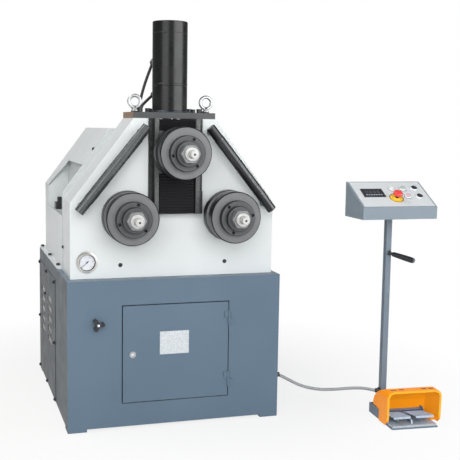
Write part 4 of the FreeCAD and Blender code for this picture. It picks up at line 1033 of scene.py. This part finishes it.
for node, x, y, colour in (("button_white", 0.184, 0.132, (0.84, 0.85, 0.86)),
                           ("button_green", 0.236, 0.132, (0.50, 0.60, 0.55)),
                           ("button_red", 0.236, 0.075, (0.74, 0.52, 0.57))):
    lens = painted(node.replace("_", " "), colour, 0.18, 0.03, 0.02, 900.0, 0.0, coat=0.5,
                   even=True)
    cap = lathe(node + "_lens", [
        (0, -0.006), (0.0089, -0.006), (0.0089, 0.0104), (0.0110, 0.0104), (0.0114, 0.0108),
        (0.0110, 0.0113), (0.0080, 0.0118), (0.0040, 0.0121), (0, 0.0122)], lens, (x, y, 0),
        steps=40)
    on_panel(rounded(cap), node, slot_names[node], node)
    # A thin black rubber ring round each bezel, there also as a painted shadow line at its foot.
    rubber_shade_ring = lathe(node + "_rubber_shade_ring", [
        (0.0140, 0.0015), (0.0158, 0.0015), (0.0158, 0.0023), (0.0150, 0.0029),
        (0.0140, 0.0029), (0.0140, 0.0015)], panel_black, (x, y, 0))
    on_panel(rounded(rubber_shade_ring), "frame", "rubber")
dial_black = plastic("selector plastic", (0.022, 0.026, 0.036), 0.36)
for node, x, y in (("selector_upper", 0.292, 0.135), ("selector_lower", 0.291, 0.074)):
    knob = lathe(node + "_dial", [
        (0, -0.006), (0.0089, -0.006), (0.0089, 0.0065), (0.0126, 0.0065), (0.0131, 0.0072),
        (0.0128, 0.0084), (0.0118, 0.0091), (0, 0.0094)], dial_black, (x, y, 0))
    on_panel(rounded(knob), node, slot_names[node], node)
    on_panel(block(node + "_ridge", (x - 0.0026, y - 0.0116, 0.0088),
                   (x + 0.0026, y + 0.0116, 0.0112), dial_black, 0.0010),
             node, slot_names[node], node)
stop_red = painted("emergency red", (0.84, 0.060, 0.055), 0.28, 0.03, 0.03, dust_and_top_light=0.0, coat=0.3)
cap = lathe("estop_mushroom", [
    (0, 0.0180), (0.0150, 0.0180), (0.0172, 0.0186), (0.0194, 0.0208), (0.0200, 0.0230),
    (0.0200, 0.0282), (0.0192, 0.0310), (0.0168, 0.0334), (0.0140, 0.0345), (0.0128, 0.0341),
    (0.0120, 0.0346), (0.0060, 0.0357), (0, 0.0360)], stop_red, (stop_x, stop_up, 0), steps=64)
cap.data.shade_smooth()
on_panel(cap, "estop_cap", "plastic_red", "estop_cap")
finished("estop_stem", 0.0005, panel_black)
on_panel(lathe("estop_disc_edge", [
    (0.0300, 0.0029), (0.0310, 0.0029), (0.0310, 0.0033), (0.0296, 0.0035), (0.0282, 0.0033),
    (0.0282, 0.0029)], panel_black, (stop_x, stop_up, 0), steps=72), "frame", "plastic_black")

# ---- Handle ----
# Free-turning moulded grip, fluted along its length, on a plated spindle that stands out from
# the console. A rounded cap on the spindle's end keeps the grip on.
handle_root = Vector((0.913, -0.6125, 0.714))
handle_way = Vector((78, -66, -26)).normalized()
grip = lathe("handle_grip_fluted", [
    (0.00506, 0.0170), (0.0086, 0.0170), (0.0093, 0.0190), (0.0100, 0.0225), (0.0110, 0.0380),
    (0.0118, 0.0600), (0.0124, 0.0800), (0.0125, 0.0960), (0.0123, 0.1030), (0.0117, 0.1085),
    (0.0106, 0.1110), (0.0094, 0.1112), (0.00506, 0.1112), (0.00506, 0.0170)],
    plastic("grip rubber", (0.016, 0.018, 0.021), 0.45, 300.0, specular=0.35), steps=72)
flutes, flute_depth, flute_start, flute_end, collar_r = 12, 0.045, 0.024, 0.104, 0.0095
for vert in grip.data.vertices:
    if math.hypot(vert.co.x, vert.co.y) > collar_r and flute_start < vert.co.z < flute_end:
        wave = 0.5 + 0.5 * math.cos(flutes * math.atan2(vert.co.y, vert.co.x))
        vert.co.x *= 1 - flute_depth * wave
        vert.co.y *= 1 - flute_depth * wave
grip.data.transform(Matrix.Translation(handle_root) @ Vector((0, 0, 1)).rotation_difference(
    handle_way).to_matrix().to_4x4())
grip.data.shade_smooth()
carried(grip, "handle_grip", "plastic_black", "handle_grip")
end_cap = lathe("grip_end_cap", [
    (0, 0.1114), (0.0092, 0.1114), (0.0096, 0.1126), (0.0086, 0.1155), (0.0060, 0.1175),
    (0.0030, 0.1180), (0, 0.1181)], plastic("grip end cap", (0.13, 0.17, 0.20), 0.35, 60.0),
    handle_root, handle_way, 40)
end_cap.data.shade_smooth()
carried(end_cap, "frame", "plastic_grey")

# ---- Foot switch ----
# Double pedal of cast aluminium on a base plate, under a moulded orange guard with four
# slots in its roof. A coil spring lifts each pedal.
cast_alu = metal("cast aluminium", (0.44, 0.49, 0.54), 0.42, 220.0, 0.05, 0.20, 0.5,
                 (0.70, 0.73, 0.76))
tread_alu = metal("rolled aluminium", (0.42, 0.52, 0.64), 0.48, 160.0, 0.03, 0.0, 0.5,
                  (0.66, 0.74, 0.84), specular=0.18)
housing_blue = painted("rear housing coat", (0.150, 0.203, 0.280), dust_and_top_light=0.1)
guard_orange = painted("moulded orange", (0.920, 0.285, 0.003), 0.38, 0.03, 0.10, 500.0, 0.0,
                       specular=0.18)
# The rim is a lighter copy of the orange: painted highlight along its edge.
rim_highlight = painted("orange rim, painted highlight", (0.960, 0.440, 0.025), 0.32, 0.03, 0.08, 500.0, 0.0,
                     specular=0.25)
# The guard and rim glow faintly toward the eye: painted light standing in for light through the
# plastic. Diffuse bounces see a grey-blue in place of the orange.
for stuff, colour, through in ((guard_orange, (0.930, 0.280, 0.001), 0.30),
                               (rim_highlight, (0.960, 0.440, 0.020), 0.12)):
    tree = stuff.node_tree
    given = tree.nodes["Principled BSDF"].inputs
    thrown = joined(tree, "ShaderNodeLightPath").outputs["Is Diffuse Ray"]
    for socket, seen, bounced in (
            ("Base Color", given["Base Color"].links[0].from_socket, (0.66, 0.68, 0.72, 1)),
            ("Emission Color", (*colour, 1), (0.40, 0.46, 0.56, 1))):
        tree.links.new(mixed(tree, thrown, seen, bounced), given[socket])
    given["Emission Strength"].default_value = through
stand_turn = Matrix.Translation((0.848, -0.822, 0)) @ Matrix.Rotation(math.radians(-4.5), 4, "Z")
to_stand = stand_turn.inverted()
rim_back, housing_start, plate_top = 0.0330, 0.100, 0.0145


def on_housing(face):
    at = to_stand @ face.center
    return at.y > housing_start and at.z > plate_top


repainted(finished("switch_base", 0.0012, cast_alu), housing_blue, on_housing)
finished("pedal_left", 0.0008, tread_alu)
finished("pedal_right", 0.0008, tread_alu)
repainted(finished("switch_hood", 0.0016, guard_orange, angle=16, segments=3), rim_highlight,
          lambda face: (to_stand @ face.center).y < rim_back)


def oval_caps():
    """Flat cap with round ends on every point, as wide as twice its radius."""
    tree, given = geometry_tree("oval caps", {
        "Radius": 0.0068, "Reach": 0.0055, "Thickness": 0.0025})
    disc = made(tree, "GeometryNodeMeshCylinder", {
        "Vertices": 32, "Radius": given["Radius"], "Depth": given["Thickness"]})
    ends = joined(tree, "GeometryNodeJoinGeometry")
    for way in (1.0, -1.0):
        aside = xyz(tree, X=worked(tree, "MULTIPLY", given["Reach"], way))
        end = made(tree, "GeometryNodeTransform", {"Geometry": disc, "Translation": aside})
        tree.links.new(end, ends.inputs[0])
    hull = made(tree, "GeometryNodeConvexHull", {"Geometry": ends.outputs[0]})
    return placed_on(tree, given["Geometry"], hull, given)


roof_caps = grown("roof_slot_caps", oval_caps(), {
    "Radius": 0.0068, "Reach": 0.0055, "Thickness": 0.0030,
    "Material": plastic("roof cap plastic", (0.020, 0.021, 0.028), 0.40)},
    [(across, 0.050, 0.1528) for across in (0.0225, 0.0575, 0.1585, 0.1905)])
roof_caps.data.transform(stand_turn)
carried(roof_caps, "frame", "plastic_black")


def coil_tree():
    """Coil spring standing on every point."""
    tree, given = geometry_tree("coil spring", {
        "Radius": 0.007, "Wire": 0.0009, "Height": 0.036, "Turns": 6.0})
    spiral = made(tree, "GeometryNodeCurveSpiral", {
        "Resolution": 24, "Rotations": given["Turns"], "Start Radius": given["Radius"],
        "End Radius": given["Radius"], "Height": given["Height"]})
    ring = made(tree, "GeometryNodeCurvePrimitiveCircle",
                {"Resolution": 8, "Radius": given["Wire"]})
    wire = made(tree, "GeometryNodeCurveToMesh", {
        "Curve": spiral, "Profile Curve": ring, "Fill Caps": True})
    smooth = made(tree, "GeometryNodeSetShadeSmooth", {"Geometry": wire})
    return placed_on(tree, given["Geometry"], smooth, given)


coil, base_top, spring_top, spring_back = coil_tree(), 0.014, 0.0385, 0.056
for name, across in (("left", 0.0505), ("right", 0.1525)):
    spring = grown("spring_" + name, coil, {
        "Radius": 0.0068, "Wire": 0.0010, "Height": spring_top - base_top - 0.002, "Turns": 4.0,
        "Material": zinc}, [(across, spring_back, base_top + 0.001)])
    spring.data.transform(stand_turn)
    carried(spring, "frame", "zinc", "pedal_springs")
    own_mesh(spring)

# ---- Floor and light ----
# Plain white studio: a floor that keeps the soft shadow near the machine and fades to white,
# large soft lamps in front, two of them for gloss alone, and a warm one above the left side.
floor_material = bpy.data.materials.new("studio floor")
floor_material.use_nodes = True
tree = floor_material.node_tree
tree.nodes.clear()
place = joined(tree, "ShaderNodeTexCoord").outputs["Object"]
away = joined(tree, "ShaderNodeVectorMath", {0: place}, operation="LENGTH").outputs["Value"]
matt = made(tree, "ShaderNodeBsdfDiffuse", {"Color": (0.86, 0.86, 0.86, 1)})
white = made(tree, "ShaderNodeEmission", {"Color": (1, 1, 1, 1), "Strength": 1.0})
seen = made(tree, "ShaderNodeMixShader", {
    0: spread(tree, away, 0.8, 1.8, 0.80, 1.0), 1: matt, 2: white})
path = joined(tree, "ShaderNodeLightPath").outputs
direct = worked(tree, "MAXIMUM", path["Is Camera Ray"], path["Is Glossy Ray"])
direct = worked(tree, "MAXIMUM", direct, path["Is Transmission Ray"])
cloth = made(tree, "ShaderNodeBsdfDiffuse", {"Color": (0.58, 0.58, 0.58, 1)})
both = made(tree, "ShaderNodeMixShader", {0: direct, 1: cloth, 2: seen})
joined(tree, "ShaderNodeOutputMaterial", {"Surface": both})
bm = bmesh.new()
bmesh.ops.create_grid(bm, x_segments=4, y_segments=4, size=14.0)
solid_piece("floor", bm, floor_material)

world = bpy.data.worlds.new("studio")
world.use_nodes = True
bpy.context.scene.world = world
tree = world.node_tree
tree.nodes.clear()
path = joined(tree, "ShaderNodeLightPath").outputs
way = joined(tree, "ShaderNodeTexCoord").outputs["Generated"]
facing = joined(tree, "ShaderNodeVectorMath", {0: way, 1: (0.26, 0.96, 0.0)},
                operation="DOT_PRODUCT").outputs["Value"]
behind = spread(tree, facing, 0.86, 0.96, 0.0, 1.0)
gloss_white = worked(tree, "MULTIPLY", path["Is Glossy Ray"], behind)
ambient = made(tree, "ShaderNodeBackground", {"Color": (0.94, 0.97, 1.0, 1), "Strength": 0.22})
backdrop = made(tree, "ShaderNodeBackground", {"Color": (1, 1, 1, 1), "Strength": 1.0})
direct = worked(tree, "MAXIMUM", path["Is Camera Ray"], path["Is Transmission Ray"])
direct = worked(tree, "MAXIMUM", direct, gloss_white)
both = made(tree, "ShaderNodeMixShader", {0: direct, 1: ambient, 2: backdrop})
joined(tree, "ShaderNodeOutputWorld", {"Surface": both})

everywhere, matt_only, gloss_only = (True, True), (True, False), (False, True)
machine, white_light = (0.1, -0.5, 0.8), (1, 1, 1)
for name, at, aim, size, power, colour, shows in (
        ("front lamp", (-1.0, -4.7, 2.4), machine, (4.6, 3.6), 215, (1.0, 0.99, 0.97),
         matt_only),
        ("left reflector", (-3.3, -3.9, 2.4), machine, (3.8, 3.4), 80, white_light, gloss_only),
        ("right reflector", (3.4, -3.9, 2.4), machine, (6.0, 3.4), 270, white_light,
         gloss_only),
        ("right lamp", (3.4, -3.2, 2.2), (0.3, -0.4, 0.8), (1.8, 2.4), 36, (0.93, 0.97, 1.0),
         matt_only),
        ("upper left lamp", (-2.0, 0.0, 4.6), (-0.1, -0.1, 0.9), (2.4, 2.4), 84,
         (1.0, 0.965, 0.93), everywhere)):
    lamp = bpy.data.lights.new(name, "AREA")
    lamp.shape = "RECTANGLE"
    lamp.size, lamp.size_y = size
    lamp.energy, lamp.color = power, colour
    holder = piece(name, lamp)
    holder.location = at
    holder.rotation_euler = (Vector(aim) - Vector(at)).to_track_quat("-Z", "Y").to_euler()
    holder.visible_diffuse, holder.visible_glossy = shows

bpy.context.scene.view_settings.view_transform = "Standard"
